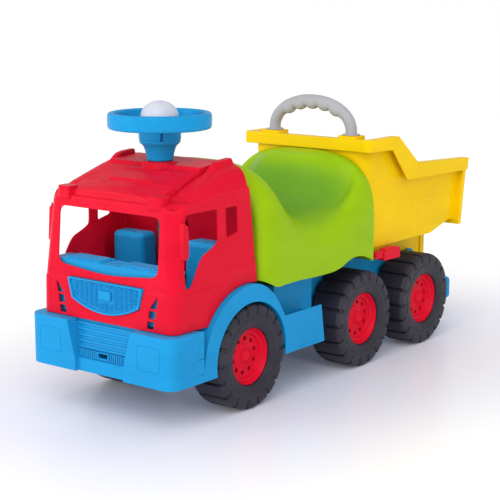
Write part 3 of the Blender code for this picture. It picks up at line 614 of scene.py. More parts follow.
def roof_height(x, y):
    """The roof's upper face: a low front ledge, a sloping band, a dished panel and side wings with humps."""
    ax = abs(x)
    eave = eave_height(x, y)
    inside_wing = smooth((PANEL_HALF - 0.0005 - ax) / 0.004)
    panel = along(ROOF_LINE, y) - 0.0060 * (min(ax, PANEL_HALF) / 0.088) ** 2 * smooth((-0.060 - y) / 0.06)
    ahead = y - lip_at(x)
    beside = PANEL_HALF - ax
    soft = 0.012
    if ahead < soft and beside < soft:
        inside = soft - hypot(soft - ahead, soft - beside)
    else:
        inside = min(ahead, beside)
    behind = smooth((-0.0560 - y) / 0.003)
    dish = 0.0042 * smooth(inside / 0.0030) * behind
    brim = 0.0009 * exp(-(min(inside, 0) / 0.0016) ** 2) if inside < 0.0016 else 0
    climb = smooth((y + 0.1508) / 0.0014)
    height = eave + (panel - dish + brim * behind - eave) * climb * inside_wing
    height += 0.0007 * exp(-((y + 0.0545) / 0.0014) ** 2) * inside_wing

    for rib_y, half, rise in ((-0.1080, 0.041, 0.0028), (-0.0730, 0.045, 0.0020)):
        away = hypot(max(ax - half, 0), y - rib_y)
        height += rise * smooth((0.0028 - away) / 0.0016)

    if ax > 0.080:
        out = min(max((ax - 0.0935) / 0.0328, 0), 1)
        round_off = (1 - out ** 2.6) ** (1 / 2.6)
        wing = eave + max(along(WING_LINE, y) - eave, 0) * round_off
        hump = 0.0085 * smooth((y + 0.0530) / 0.024) * smooth((0.0030 - y) / 0.003)
        wing += hump * smooth((ax - 0.0880) / 0.0035) * smooth((0.1060 - ax) / 0.0050)
        edge = smooth((ax - 0.0885) / 0.0025) * smooth((y + 0.1300 - 0.25 * max(ax - 0.095, 0)) / 0.006)
        height += (max(wing, eave) - height) * edge

    away = hypot(x, y - STEERING.y)
    height += (0.3682 - height) * smooth((0.0290 - away) / 0.0030)
    height -= 0.0007 * exp(-((away - 0.0235) / 0.0009) ** 2)
    return height + (eave - height) * smooth((y - 0.0020) / 0.0060)


def spread_lines(anchors):
    """Line positions between (position, step to the next) anchors."""
    lines = []
    for (start, step), (end, _) in zip(anchors, anchors[1:]):
        count = max(round((end - start) / step), 1)
        lines += [start + (end - start) * k / count for k in range(count)]
    return lines + [anchors[-1][0]]


def cab_roof():
    corner = EAVE_HALF - EAVE_CORNER
    xs = spread_lines([(0, 0.0017), (0.0860, 0.0007), (0.0950, 0.0014), (corner, 1)])
    turns = 22
    xs += [corner + EAVE_CORNER * sin(pi / 2 * k / turns) for k in range(1, turns + 1)]
    xs = [-x for x in reversed(xs[1:])] + xs
    grid = []
    for x in xs:
        over = max(abs(x) - corner, 0)
        front = EAVE_FRONT + EAVE_CORNER - sqrt(max(EAVE_CORNER ** 2 - over ** 2, 0))
        over = max(abs(x) - (EAVE_HALF - BACK_CORNER), 0)
        back = EAVE_BACK - BACK_CORNER + sqrt(max(BACK_CORNER ** 2 - over ** 2, 0))
        lip = lip_at(x)
        step = min(max(-0.1512, front + EAVE_ROUND + 0.0004), lip - 0.0040)
        stops = [front, front + EAVE_ROUND, step, step + 0.0020, lip - 0.0018, lip + 0.0040, -0.0600, -0.0520,
                 back - 0.0110, back - EAVE_ROUND, back]
        ys = [front + EAVE_ROUND * (1 - cos(pi / 2 * k / 5)) for k in range(5)]
        for (start, end), count in zip(zip(stops[1:-1], stops[2:-1]), (1, 6, 8, 9, 30, 10, 24, 10)):
            ys += [start + (end - start) * k / count for k in range(count)]
        ys += [back - EAVE_ROUND * (1 - sin(pi / 2 * k / 5)) for k in range(6)]
        column = []
        for y in ys:
            gap = corner_gap(x, y)
            fall = EAVE_ROUND - sqrt(max(EAVE_ROUND ** 2 - max(EAVE_ROUND - gap, 0) ** 2, 0))
            column.append((x * (1 + 0.00005 / EAVE_HALF), y, roof_height(x, y) - fall))
        grid.append(column)
    return cut(slab(grid, (0, 0, -0.0030)), rod(0.0075, "z", (0, STEERING.y, 0), 0.33, 0.39, 24))


def corner_gap(x, y):
    """How far a point lies inside the cab's outline at the eave."""
    gaps = []
    for edge, inward, radius in ((EAVE_FRONT, 1, EAVE_CORNER), (EAVE_BACK, -1, BACK_CORNER)):
        side = EAVE_HALF - abs(x)
        end = (y - edge) * inward
        if side < radius and end < radius:
            gaps.append(radius - hypot(radius - side, radius - end))
        else:
            gaps.append(min(side, end))
    return max(min(gaps), 0)


def add_cab():
    walls = softened(cab_walls(), 0.0011, 3)
    add_piece("cab_shell_skin", merged(walls, cab_trim(), cab_roof()), "red_plastic", "truck", "cab_shell")


def add_grille():
    plate = prism(grille_outline(), "y", -0.1687, -0.1612)
    field = [(x * 0.945, 0.1820 + (z - 0.1820) * 0.885) for x, z in grille_outline()]
    plate = cut(plate, prism(field, "y", -0.1800, -0.1652))
    badge = prism(rounded(rectangle((-0.0120, 0.0120), (0.1775, 0.1910)), 0.002, 3), "y", -0.1690, -0.1660)
    plate = soft_parts(0.0007, 2, plate, badge)
    bricks = []
    pitch_x = 0.0098
    pitch_z = 0.0031
    for column in range(-7, 8):
        for row in range(16):
            x = column * pitch_x
            z = 0.1565 + row * pitch_z + (pitch_z / 2 if column % 2 else 0)
            half = 0.0640 + 0.006 * min((z - 0.160) / 0.04, 1)
            floor_z = 0.1620 + 0.0152 * (min(abs(x) + 0.0045, half) / 0.066) ** 2
            if abs(x) + 0.0045 > half or z < floor_z or z > 0.1985:
                continue
            if abs(x) < 0.0185 and 0.1735 < z < 0.1945:
                continue
            brick = box((x - 0.0042, x + 0.0042), (-0.1674, -0.1648), (z - 0.0009, z + 0.0009))
            for v in brick.verts:
                if v.co.y < -0.1670:
                    v.co.x += 0.0004 if v.co.x < x else -0.0004
                    v.co.z += 0.0004 if v.co.z < z else -0.0004
            bricks.append(brick)
    add_piece("grille_skin", merged(plate, *bricks), "blue_plastic", "truck", "grille_insert")


def add_dashboard():
    section = mm((-157.5, 148.5), (-157.5, 227), (-121, 227), (-121, 223.8), (-154.5, 223.8),
                 (-154.5, 148.5))
    parts = [prism(section, "x", -0.1150, 0.1150)]
    for side in (1, -1):
        for inset, low, high in ((0, 0.2250, 0.2290), (0.004, 0.2280, 0.2306)):
            x = span(side, 0.018 + inset, 0.092 - inset)
            y = (-0.1552 + inset, -0.1225 - inset)
            parts.append(prism(rounded(rectangle(x, y), 0.004, 3), "z", low, high))
        parts.append(box(span(side, 0.090, 0.094), (-0.1570, -0.122), (0.1720, 0.2260)))
    add_piece("dashboard_skin", soft_parts(0.0007, 2, *parts), "blue_plastic", "truck", "dashboard")


def add_cab_seats():
    for _, hand in SIDES:
        low, high = (corner - Vector((0, SHIFT, 0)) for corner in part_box(f"cab_seat_{hand}"))
        seat = box(*zip(low, high))
        for v in seat.verts:
            if v.co.z > 0.2 and v.co.y > 0:
                v.co.y -= 0.004
        seat = softened(seat, 0.0085, 5)
        add_piece(f"cab_seat_skin_{hand}", seat, "blue_plastic", "truck", f"cab_seat_{hand}")


# Bumper, fenders and steps

TOW_HOLE = ((-0.0095, 0.0095), (-0.20, -0.14), (0.0912, 0.0982))
ARCH_IN = 0.0835
ARCH_BACK = 0.0941
ARCH_END = 30.67


def bumper_plan(inset, back_y, nose=-0.183, corner=0.022, steps=10):
    half = HALF_WIDTH - inset
    front = nose + inset
    return rounded([(half, back_y), (half, front), (-half, front), (-half, back_y)],
                   [0.0001, corner - inset, corner - inset, 0.0001], steps)


def add_bumper():
    back = -0.1129
    low = 0.067
    top = 0.1426
    depth = 0.0045
    shell = prism(bumper_plan(0, back), "z", low, top)
    shell = cut(shell, prism(bumper_plan(depth, back + 0.02), "z", low - 0.01, top - depth))
    core = box((-0.068, 0.068), (-0.181, -0.1505), (low + 0.0001, top - 0.0001))
    shell = combined(shell, [core], "UNION")
    foot = 0.087
    levels = ((0.0478, -0.1715, foot), (0.0650, -0.1575, 0.150))
    rings = [[(x, y, z) for x, y in rectangle((-half, half), (-0.193, deep))] for half, deep, z in levels]
    shell = cut(shell, loft(rings))
    shell = cut(shell, box((-0.0474, 0.0474), (-0.193, -0.1765), (low - 0.01, foot + 0.002)))
    shell = cut(shell, box((-0.078, 0.078), (-0.1503, back + 0.03), (0.12, 0.15)))
    shell = cut(shell, box(*TOW_HOLE))
    slats = []
    for k in range(5):
        z = 0.1015 + 0.0082 * k
        y = -0.1715 + 0.0140 * (z - foot) / 0.063
        half = 0.0482 + 0.0172 * (z - foot) / 0.063 - 0.0012
        slat = [(y - 0.0026, z), (y - 0.0022, z + 0.0030), (y + 0.006, z + 0.0042), (y + 0.006, z)]
        slats.append(prism(slat, "x", -half, half))
    tow_frame = rounded(rectangle((-0.0125, 0.0125), (0.0893, 0.1000)), 0.0015, 2)
    tow_frame = prism(tow_frame, "y", -0.1738, -0.1660)
    tow_frame = cut(tow_frame, box(*TOW_HOLE))
    lines = []
    for side in (1, -1):
        outer = rounded(rectangle(span(side, 0.0760, 0.1190), (0.0900, 0.1270)), 0.004, 3)
        inner = rounded(rectangle(span(side, 0.0768, 0.1182), (0.0908, 0.1262)), 0.0035, 3)
        lines.append(cut(prism(outer, "y", -0.19, -0.1826), prism(inner, "y", -0.195, -0.18)))
        for z in (0.0790, 0.1015):
            lines.append(box(span(side, HALF_WIDTH - 0.0008, 0.15), (-0.1245, back + 0.01), (z, z + 0.0016)))
    shell = cut(softened(shell, 0.0009, 3), *lines)
    shell = merged(shell, soft_parts(0.0005, 2, tow_frame, *slats))
    ribs = []
    for k in range(-11, 12):
        x = k * 0.0038
        if abs(x) < 0.0140:
            continue
        ribs.append(box((x - 0.0010, x + 0.0010), (-0.1730, -0.1690), (0.0885, 0.1005)))
    add_piece("front_bumper_skin", merged(shell, *ribs), "blue_plastic", "truck", "front_bumper")


def fender_edge(start, end, steps, inset=0.0):
    """The fender's outer edge between two angles round the wheel, from straight behind it."""
    points = []
    for k in range(steps + 1):
        turn = start + (end - start) * k / steps
        r = ARCH_BACK + 0.0169 * smooth((turn - 31) / 59) - inset
        points.append((r * cos(radians(turn)), TYRE_R + r * sin(radians(turn))))
    return points


def add_fender(side, hand):
    low = 0.067
    step_top = 0.128
    outline = [(-0.1125, low), (-0.1125, TYRE_R + 0.004)]
    outline += fender_edge(176, ARCH_END, 52)
    outline += [(0.177, step_top), (0.186, low)]
    outline += arc((0, TYRE_R), ARCH_IN, -8.9, 188.9, 60)
    face = prism(outline, "x", *span(side, HALF_WIDTH - 0.0035, HALF_WIDTH))
    groove = mm((113, 72.2), (180.5, 72.2), (180.4, 72.8), (113, 72.8))
    groove = prism(groove, "x", *span(side, HALF_WIDTH - 0.0005, HALF_WIDTH + 0.01))
    face = cut(softened(face, 0.0010, 3), groove)
    liner = arc((0, TYRE_R), 0.0865, 2, 178, 48) + arc((0, TYRE_R), ARCH_IN + 0.0002, 178, 2, 48)
    lip = fender_edge(165, ARCH_END + 8, 40, 0.0001) + fender_edge(ARCH_END + 8, 165, 40, 0.003)
    inside = soft_parts(0.0006, 2, prism(liner, "x", *span(side, 0.0805, HALF_WIDTH - 0.001)),
                        prism(lip, "x", *span(side, 0.118, HALF_WIDTH - 0.001)))
    add_piece(f"fender_skin_{hand}", merged(face, inside), "blue_plastic", "truck", f"fender_{hand}")


def add_step_tray(side, hand):
    x = span(side, 0.1043, 0.1379)
    y = (0.1005, 0.1760)
    z = (0.068, 0.116)
    wall = 0.0022
    hollow = box((x[0] + wall, x[1] - wall), (y[0] + wall, y[1] - wall), (z[0] + wall, z[1] + 0.01))
    tray = cut(box(x, y, z), hollow)
    shelf = box((x[0] + 0.001, x[1] - 0.001), (y[0] + 0.001, y[0] + 0.026), (z[0] + 0.001, 0.098))
    brace = mm((122, 113), (160, 113), (160, 101), (122, 97.5))
    brace = prism(brace, "x", *span(side, 0.1205, 0.1225))
    whole = soft_parts(0.0006, 2, tray, shelf, brace)
    add_piece(f"step_tray_skin_{hand}", whole, "blue_plastic", "truck", f"step_tray_{hand}")


# Saddle

SADDLE = mm(
    # station, half width, crown height, height where the side starts to curve in, lower edge
    (27.5, 133.0, 348.0, 220, 190.5),
    (33.0, 136.5, 352.0, 224, 189.0),
    (45.0, 140.0, 359.0, 232, 183.5),
    (62.0, 141.2, 361.0, 236, 176.0),
    (80.0, 141.0, 350.0, 232, 176.5),
    (100.0, 140.5, 323.0, 222, 176.5),
    (125.0, 140.2, 297.0, 212, 176.5),
    (155.0, 140.0, 284.0, 205, 175.0),
    (185.0, 140.0, 282.5, 204, 174.5),
    (212.0, 140.2, 292.0, 208, 175.0),
    (235.0, 140.5, 314.0, 218, 179.0),
    (255.0, 141.0, 337.0, 228, 186.5),
    (275.0, 141.2, 349.5, 234, 189.5),
    (300.0, 141.2, 352.5, 236, 186.0),
    (329.0, 140.5, 352.0, 236, 175.0),
)
SADDLE_CURVE = spline(SADDLE, 5)


def saddle_value(column, y):
    return along([(row[0], row[column]) for row in SADDLE_CURVE], y)


def setback(x, y):
    """How far the back of the seat's dip lies behind its middle line, beside the middle."""
    hollow = smooth((abs(x) - 0.030) / 0.085) * (1 - 0.6 * smooth((abs(x) - 0.105) / 0.030))
    start = smooth((y - 0.150) / 0.140)
    end = smooth((y - 0.300) / (SADDLE[-1][0] - 0.300))
    return (0.006 + 0.050 * hollow) * start * (1 - end)


def saddle_row(y, place=None, inset=0.0, steps=64, side_steps=8):
    """The saddle's section at station y, drawn at place, from its left lower edge to its right one."""
    place = y if place is None else place
    half = saddle_value(1, y)
    low = saddle_value(4, y)
    over = []
    for x, up in arch(half, SADDLE_POWER, steps):
        source = max(y - setback(x, y), SADDLE[0][0])
        crown = saddle_value(2, source)
        shoulder = saddle_value(3, source)
        over.append((x * ((half - inset) / half), place, shoulder + (crown - shoulder - inset) * up))
    shoulder = over[0][2]
    side = [(half - inset, place, low + (shoulder - low) * k / side_steps) for k in range(side_steps)]
    return side + over + [(-x, y, z) for x, y, z in reversed(side)]


def add_saddle():
    first = SADDLE_CURVE[0][0]
    last = SADDLE_CURVE[-1][0]
    count = 92

    def skin(extra):
        made = [saddle_row(first, first + extra, 0.0040 + extra),
                saddle_row(first, first + 0.0008 + extra, 0.0018 + extra)]
        for k in range(1, count):
            y = first + (last - first) * k / count
            made.append(saddle_row(y, min(max(y, first + 0.001 + extra), last - 0.0034 - extra), extra))
        made.append(saddle_row(last, last - 0.0030 - extra, extra))
        made.append(saddle_row(last, last - 0.0009 - extra, 0.0008 + extra))
        made.append(saddle_row(last, last - extra, 0.0030 + extra))
        return made

    bm = bmesh.new()
    shells = []
    for rows in (skin(0.0), skin(0.0028)):
        verts = [[bm.verts.new(p) for p in row] for row in rows]
        for a, b in zip(verts, verts[1:]):
            for i in range(len(a) - 1):
                bm.faces.new((a[i], a[i + 1], b[i + 1], b[i]))
        for end in (verts[0], verts[-1]):
            bm.faces.new(end)
        shells.append(verts)
    outer, inner = shells
    for i in range(len(outer) - 1):
        for j in (0, -1):
            bm.faces.new((outer[i][j], outer[i + 1][j], inner[i + 1][j], inner[i][j]))
    for k in (0, -1):
        bm.faces.new((outer[k][0], outer[k][-1], inner[k][-1], inner[k][0]))
    bmesh.ops.recalc_face_normals(bm, faces=bm.faces)
    bmesh.ops.triangulate(bm, faces=[f for f in bm.faces if len(f.verts) > 6])
    add_piece("seat_saddle_skin", bm, "green_plastic", "truck", "seat_saddle", flat_weight=False)


# Steering

def add_steering():
    centre = (0, STEERING.y, 0)
    rim = mm((64, 417.2), (65.2, 416), (73.5, 415.7), (75.7, 416.5), (76.9, 418.4), (77.5, 422.5),
             (77.7, 429), (77.5, 434.5), (76.8, 437.8), (75.3, 439.4), (72.8, 440), (70.2, 439.6),
             (68.4, 438.5), (67.2, 436.5), (66.4, 431), (65.6, 424), (64.4, 420))
    hub = mm((7, 415), (31.8, 415), (32.8, 415.8), (33.1, 417.5), (33.1, 431.5), (32.7, 432.7),
             (31.8, 433), (30.8, 432.8), (30.3, 431.8), (30.1, 421.5), (29.6, 420.6), (7, 420.5))
    wheel = [turned(rim, "z", 96, centre), turned(hub, "z", 64, centre)]
    low = 0.4178
    sections = mm((31.2, 15.0, 426.2), (48.0, 11.8, 423.6), (66.8, 15.0, 425.6))
    for turn in (90, 210, 330):
        rings = [[(x, y, z) for y, z in rectangle((-half, half), (low, top))] for x, half, top in sections]
        spoke = loft(rings)
        wheel.append(moved(turned_about(softened(spoke, 0.0014, 3), turn, "Z"), centre))
    add_piece("steering_wheel_skin", merged(*wheel), "blue_plastic", "steering", "steering_wheel")

    column = mm((7, 368.6), (18.4, 368.6), (19.4, 369.4), (19.8, 371.5), (20.6, 376.5), (22, 382.5),
                (23.7, 387.6), (25.8, 391.2), (28.6, 393.6), (30.1, 394.8), (30.7, 396.4), (30.8, 398.8),
                (30.6, 399.8), (31.3, 400.4), (31.5, 401.8), (31.5, 413.2), (31.1, 414.2), (30, 414.5),
                (7, 414.5))
    column = turned(column, "z", 72)
    slot = turned_about(box((-0.0019, 0.0019), (-0.05, -0.026), (0.3995, 0.4120)), 46.0, "Z")
    column = moved(cut(column, slot), centre)
    add_piece("steering_column_skin", column, "blue_plastic", "steering", "steering_column")


def add_horn():
    centre = Vector((0, STEERING.y, 0))
    outer = 0.0285
    spring = 0.4330
    top = 0.4570
    wall = 0.0022
    base = 0.4265

    def quarter(radius, height, steps):
        """A quarter ellipse from the spring line up to just before the middle."""
        turns = [pi / 2 * k / steps for k in range(steps)]
        return [(radius * cos(turn), spring + height * sin(turn)) for turn in turns]

    inner = outer - wall
    dome = [(outer - 0.0004, base), (outer, base + 0.0006)] + quarter(outer, top - spring, 18) + [(0, top)]
    dome += [(0, top - wall)] + quarter(inner, top - wall - spring, 12)[::-1]
    dome += [(inner, base + 0.0004), (inner + 0.0004, base)]
    cap = turned(dome, "z", 64, centre)
    holes = []
    for k in range(6):
        turn = radians(16 + 60 * k)
        spot = centre + Vector((0.0135 * cos(turn), 0.0135 * sin(turn), 0))
        holes.append(rod(0.0009, "z", spot, 0.440, 0.470, 10))
    cap = cut(cap, *holes)
    add_piece("horn_button_skin", cap, "white_plastic", "horn", "horn_button", flat_weight=False)


# Bucket

BUCKET_HALF = 0.116
BUCKET_FLOOR = 0.187
BUCKET_FOOT = 0.641
BUCKET_WALL = 0.003
RIM_TOP = 0.373
HANDLE_HALF = 0.0793
HANDLE_Y = 0.3475


def front_rounded(shape, half_width, nose, radius):
    """The part of a shape inside this half width, with round corners where it meets the front face."""
    plan = rounded([(-half_width, 0.75), (half_width, 0.75), (half_width, nose), (-half_width, nose)],
                   [0.001, 0.001, radius, radius], 8)
    return combined(shape, [prism(plan, "z", 0.1, 0.5)], "INTERSECT")


def bucket_shell():
    front = 0.331
    half = BUCKET_HALF
    floor_z = BUCKET_FLOOR
    wall = BUCKET_WALL
    top = [(0.481, 0.3210), (0.416, RIM_TOP - 0.002), (front, RIM_TOP - 0.002)]
    side = [(front, floor_z), (0.552, floor_z), (0.612, 0.2025), (BUCKET_FOOT, 0.2025), (0.6565, 0.3130)]
    side += top
    body = front_rounded(prism(side, "x", -half - 0.01, half + 0.01), half, front, 0.027)
    inside = [(front + wall, floor_z + wall), (0.5515, floor_z + wall), (0.6115, 0.2055), (0.70, 0.2055),
              (0.70, 0.42), (front + wall, 0.42)]
    hollow = front_rounded(prism(inside, "x", -half, half), half - wall, front + wall, 0.024)
    body = softened(cut(body, hollow), 0.0009, 3)
    seams = (
        [(0.372, 0.2660), (0.622, 0.2500), (0.622, 0.2510), (0.372, 0.2670)],
        [(0.5075, 0.1890), (0.5085, 0.1890), (0.5025, 0.2560), (0.5015, 0.2560)],
        [(0.6160, 0.2080), (0.6170, 0.2080), (0.6230, 0.2490), (0.6220, 0.2490)],
    )
    for turn in (1, -1):
        for seam in seams:
            body = cut(body, prism(seam, "x", *span(turn, half - 0.0006, half + 0.01)))
    return body


def bucket_trim():
    """The bucket's rims, handle sockets, rear flanges, hinge lugs and the skirt below its floor."""
    half = BUCKET_HALF
    wall = BUCKET_WALL
    foot_y = BUCKET_FOOT
    rim_half = 0.131
    rim_front = 0.3246
    rim_top = RIM_TOP
    band = [(rim_front, 0.353), (0.398, 0.351), (0.447, 0.295), (0.6545, 0.2915), (0.6575, 0.3135),
            (0.4815, 0.3215), (0.4165, rim_top), (rim_front, rim_top)]
    trough = [(rim_front + 0.003, 0.34), (0.398, 0.34), (0.440, 0.28), (0.6515, 0.28), (0.6545, 0.3105),
              (0.4800, 0.3185), (0.4152, rim_top - 0.003), (rim_front + 0.003, rim_top - 0.003)]
    parts = [box((-0.1180, 0.1180), (rim_front + 0.0001, rim_front + 0.0031), (0.3532, rim_top - 0.0003)),
             box((-0.1180, 0.1180), (rim_front + 0.0004, 0.3430), (rim_top - 0.0034, rim_top - 0.0002)),
             box((-0.1274, 0.1274), (foot_y - 0.0105, foot_y - 0.0002), (0.1930, 0.2040))]
    for turn in (1, -1):
        rim = prism(band, "x", *span(turn, half - 0.0015, 0.15))
        dip = prism(trough, "x", *span(turn, half - 0.01, 0.15))
        parts.append(cut(front_rounded(rim, rim_half, rim_front, 0.0125),
                         front_rounded(dip, rim_half - wall, rim_front + wall, 0.0095)))
        plan = rectangle((turn * HANDLE_HALF - 0.0190, turn * HANDLE_HALF + 0.0190), (0.3323, 0.3635))
        boss = prism(rounded(plan, 0.005, 3), "z", 0.345, 0.3770)
        parts.append(cut(boss, rod(0.0120, "z", (turn * HANDLE_HALF, HANDLE_Y, 0), 0.350, 0.39, 32)))
        flange = [(foot_y - 0.0105, 0.2000), (foot_y, 0.2000), (0.6545, 0.2950), (0.6440, 0.2950)]
        parts.append(prism(flange, "x", *span(turn, half - 0.001, 0.1275)))
        parts.append(box(span(turn, 0.0665, 0.0727), (0.5900, 0.6029), (0.1242, BUCKET_FLOOR + 0.0012)))
    skirt = box((-0.070, 0.070), (0.428, 0.603), (0.1240, BUCKET_FLOOR + 0.0015))
    skirt = cut(skirt, box((-0.067, 0.067), (0.431, 0.600), (0.11, 0.1872)))
    parts.append(cut(skirt, rod(0.0045, "x", (0, 0.545, 0.140), -0.09, 0.09)))
    return soft_parts(0.0009, 3, *parts)


def add_bucket():
    whole = merged(bucket_shell(), bucket_trim())
    add_piece("dump_bucket_skin", whole, "yellow_plastic", "tipper", "dump_bucket")


def add_handle():
    radius = 0.0097
    spring_line = 0.383
    rise = 0.4318 - spring_line
    leg = [(HANDLE_HALF, z) for z in (0.3505, 0.360, 0.370, 0.378)]
    path = leg + [(x, spring_line + rise * up) for x, up in arch(HANDLE_HALF, 2.06, 96)]
    path += [(-x, z) for x, z in reversed(leg)]
    lengths = [0.0]
    for a, b in zip(path, path[1:]):
        lengths.append(lengths[-1] + hypot(b[0] - a[0], b[1] - a[1]))
    middle = lengths[-1] / 2
    lobe = 0.0258
    around = 24
    rings = []
    for k, (x, z) in enumerate(path):
        a = path[max(k - 1, 0)]
        b = path[min(k + 1, len(path) - 1)]
        run = Vector((b[0] - a[0], 0, b[1] - a[1])).normalized()
        inward = Vector((-run.z, 0, run.x))
        s = lengths[k] - middle
        grip = smooth((0.0700 - abs(s)) / 0.006)
        wave = abs(cos(pi * s / lobe)) ** 0.6
        ring = []
        for j in range(around):
            angle = 2 * pi * j / around
            under = max(cos(angle), 0) ** 1.5
            r = radius + grip * under * (0.0068 * wave - 0.0012)
            ring.append(Vector((x, HANDLE_Y, z)) + inward * r * cos(angle) + Vector((0, r * sin(angle), 0)))
        rings.append(ring)
    bar = loft(rings)
    collars = []
    for side in (1, -1):
        profile = mm((8.7, 376), (11.8, 376), (11.8, 377.3), (14.3, 377.3), (15, 377.9), (15, 378.6),
                     (14.3, 379.2), (12, 379.7), (8.7, 380.8))
        collars.append(turned(profile, "z", 32, (side * HANDLE_HALF, HANDLE_Y, 0)))
    whole = merged(bar, *collars)
    add_piece("bucket_handle_skin", whole, "grey_plastic", "tipper", "bucket_handle", flat_weight=False)


def add_latch():
    latch_y = 0.352
    latch_z = 0.1785
    parts = [rod(0.0045, "x", (0, latch_y, latch_z), -0.1330, 0.1330, 32)]
    for side in (1, -1):
        neck = mm((346, 172.5), (376, 170), (376, 183), (346, 184.5))
        pad = rounded(mm((371.5, 166), (421.2, 165.5), (421.5, 183.5), (405, 186.5), (380, 185.5),
                         (371.5, 182)), 0.003, 4)
        parts.append(prism(neck, "x", *span(side, 0.1205, 0.1315)))
        parts.append(prism(pad, "x", *span(side, 0.1195, 0.1340)))
    add_piece("latch_lever_skin", soft_parts(0.0008, 3, *parts), "red_plastic", "latch", "latch_lever")


# Wheels

LUGS = 18
TYRE_HALF = 0.0295
TYRE_MID = HALF_WIDTH - TYRE_HALF
TYRE_PROFILE = mm(
    # radius and distance from the tyre's middle plane, from the tread's middle to the bead
    (80, 0), (80, 8), (80, 16), (80, 21.5), (79.8, 24), (79.3, 26), (78.4, 27.5), (77, 28.5), (75.5, 29),
    (74, 29.3), (72.8, 29.4), (71.6, 29.5), (70.4, 29.5), (69.2, 29.5), (68, 29.5), (66.8, 29.5),
    (65.6, 29.4), (64.4, 29.3), (63.2, 29.2), (61.8, 29.1), (60, 29), (58.8, 29.1), (58, 29.4),
    (57.2, 29.4), (56.4, 29), (54, 28.7), (51, 28.3), (48, 27.8), (45.8, 27.1), (44.4, 26.2), (43.6, 25),
    (43.5, 24), (44.1, 23.3), (45.2, 23),
)
VALLEY_LINES = [0.0, 0.035, 0.060, 0.074, 0.085, 0.095, 0.105, 0.116, 0.130, 0.165, 0.24, 0.32, 0.40]


def valley(u, v):
    """How deep into the gap between two lugs a point lies, from 0 to 1.

    u is the distance round the tyre from the middle of the gap, and v the distance in from the tread.
    """
    inside = 0.0026 - hypot(u, max(v - 0.0125, 0.0))
    return smooth((inside + 0.0005) / 0.0012)


def tyre_mesh():
    profile = [(r, -x) for r, x in reversed(TYRE_PROFILE)] + TYRE_PROFILE[1:]
    fractions = [-f for f in reversed(VALLEY_LINES[1:])] + VALLEY_LINES + [0.5]
    angles = [2 * pi * (lug + 0.5 + f) / LUGS - pi / 2 for lug in range(LUGS) for f in fractions]
    rings = []
    for n, (r, x) in enumerate(profile):
        before = profile[max(n - 1, 0)]
        after = profile[min(n + 1, len(profile) - 1)]
        run = Vector((after[0] - before[0], after[1] - before[1])).normalized()
        normal = Vector((run.y, -run.x))
        depth_in = TYRE_R - r
        tread = smooth(1 - depth_in / 0.0040)
        ring = []
        for angle in angles:
            turn = (angle + pi / 2) / (2 * pi) * LUGS - 0.5
            u = (turn - floor(turn + 0.5)) * 2 * pi / LUGS * max(r, 0.060)
            deep = valley(u, depth_in) * (0.0022 + 0.0024 * tread)
            rr = r - normal.x * deep
            xx = x - normal.y * deep
            ring.append((TYRE_MID + xx, rr * cos(angle), rr * sin(angle)))
        rings.append(ring)
    return loft(rings, closed=True)


RIM_PROFILE = mm(
    # radius and distance from the truck's middle
    (44.7, 87), (44.7, 133.6), (44.3, 134.2), (43.4, 135), (42.6, 135.8), (41.9, 135.9), (41.2, 135.3),
    (40.6, 134), (39.7, 131.5), (38.7, 129.9), (38.2, 129), (37.4, 128.6), (35.6, 128.5), (34.8, 128.1),
    (34.4, 127.2), (33.6, 124.7), (33, 123.9), (32, 123.6), (26, 123.8), (20, 124.3), (15, 125),
    (12, 125.6), (10.4, 126.2), (9.9, 126.8), (9.5, 127.1), (4.5, 127.2), (4.5, 89), (8, 89), (8, 120.5),
    (33, 120.5), (38.5, 121.5), (41, 87),
)


def rim_mesh():
    rim = turned(RIM_PROFILE, "x", 72)
    holes = []
    for k in range(10):
        turn = 2 * pi * (k + 0.33) / 10
        holes.append(rod(0.0036, "x", (0, 0.0262 * cos(turn), 0.0262 * sin(turn)), 0.115, 0.135, 16))
    return cut(rim, *holes)


CAP_PROFILE = mm((0, 131.8), (2, 131.7), (4, 131.4), (6, 130.7), (7.8, 129.8), (9.2, 128.8), (10, 128),
                 (10.1, 127.5), (9.8, 127.3), (4.4, 127.3), (4.4, 131.1), (0, 131.1))


def add_wheels():
    kinds = (
        ("tyre", tyre_mesh, "tyre_plastic", 40),
        ("rim", rim_mesh, "red_plastic", 38),
        ("axle_cap", lambda: turned(CAP_PROFILE, "x", 40), "red_plastic", 38),
    )
    for kind, make, slot, angle in kinds:
        for side, hand in SIDES:
            bm = make() if side > 0 else mirrored(make())
            mesh = as_mesh(bm, f"{kind}_mesh_{hand}")
            mesh.shade_smooth()
            mesh.set_sharp_from_angle(angle=radians(angle))
            mesh.materials.append(MATERIALS[slot])
            for place, axle in AXLES.items():
                made = linked(f"{kind}_skin_{place}_{hand}", mesh)
                made.location = (0, axle.y, axle.z)
                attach(made, f"wheel_{place}_{hand}")
                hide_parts(f"{kind}_{place}_{hand}")


# CAD pieces that keep their shape

def finish_carried(node, material, width=0.0):
    """Give a CAD node its material and, if a width is given, soft edges."""
    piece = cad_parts[node]
    piece.data.materials.clear()
    piece.data.materials.append(MATERIALS[material])
    weld = piece.modifiers.new("weld", "WELD")
    weld.merge_threshold = 1e-6
    if width:
        bevel = piece.modifiers.new("soft edges", "BEVEL")
        bevel.width = width
        bevel.segments = 2
        bevel.limit_method = "ANGLE"
        bevel.angle_limit = radians(35)


def add_carried():
    for node in ("chassis", "rear_bumper"):
        finish_carried(node, "blue_plastic", 0.0007)
    for node in ("axle_front", "axle_middle", "axle_rear", "bucket_hinge_pin", "shaft_retainer",
                 "bumper_screw_left", "bumper_screw_right", "rear_screw_left", "rear_screw_right"):
        finish_carried(node, "zinc_steel")
    finish_carried("steering_shaft", "blacked_steel")
    finish_carried("horn_bellows", "bellows_rubber")


# Stage

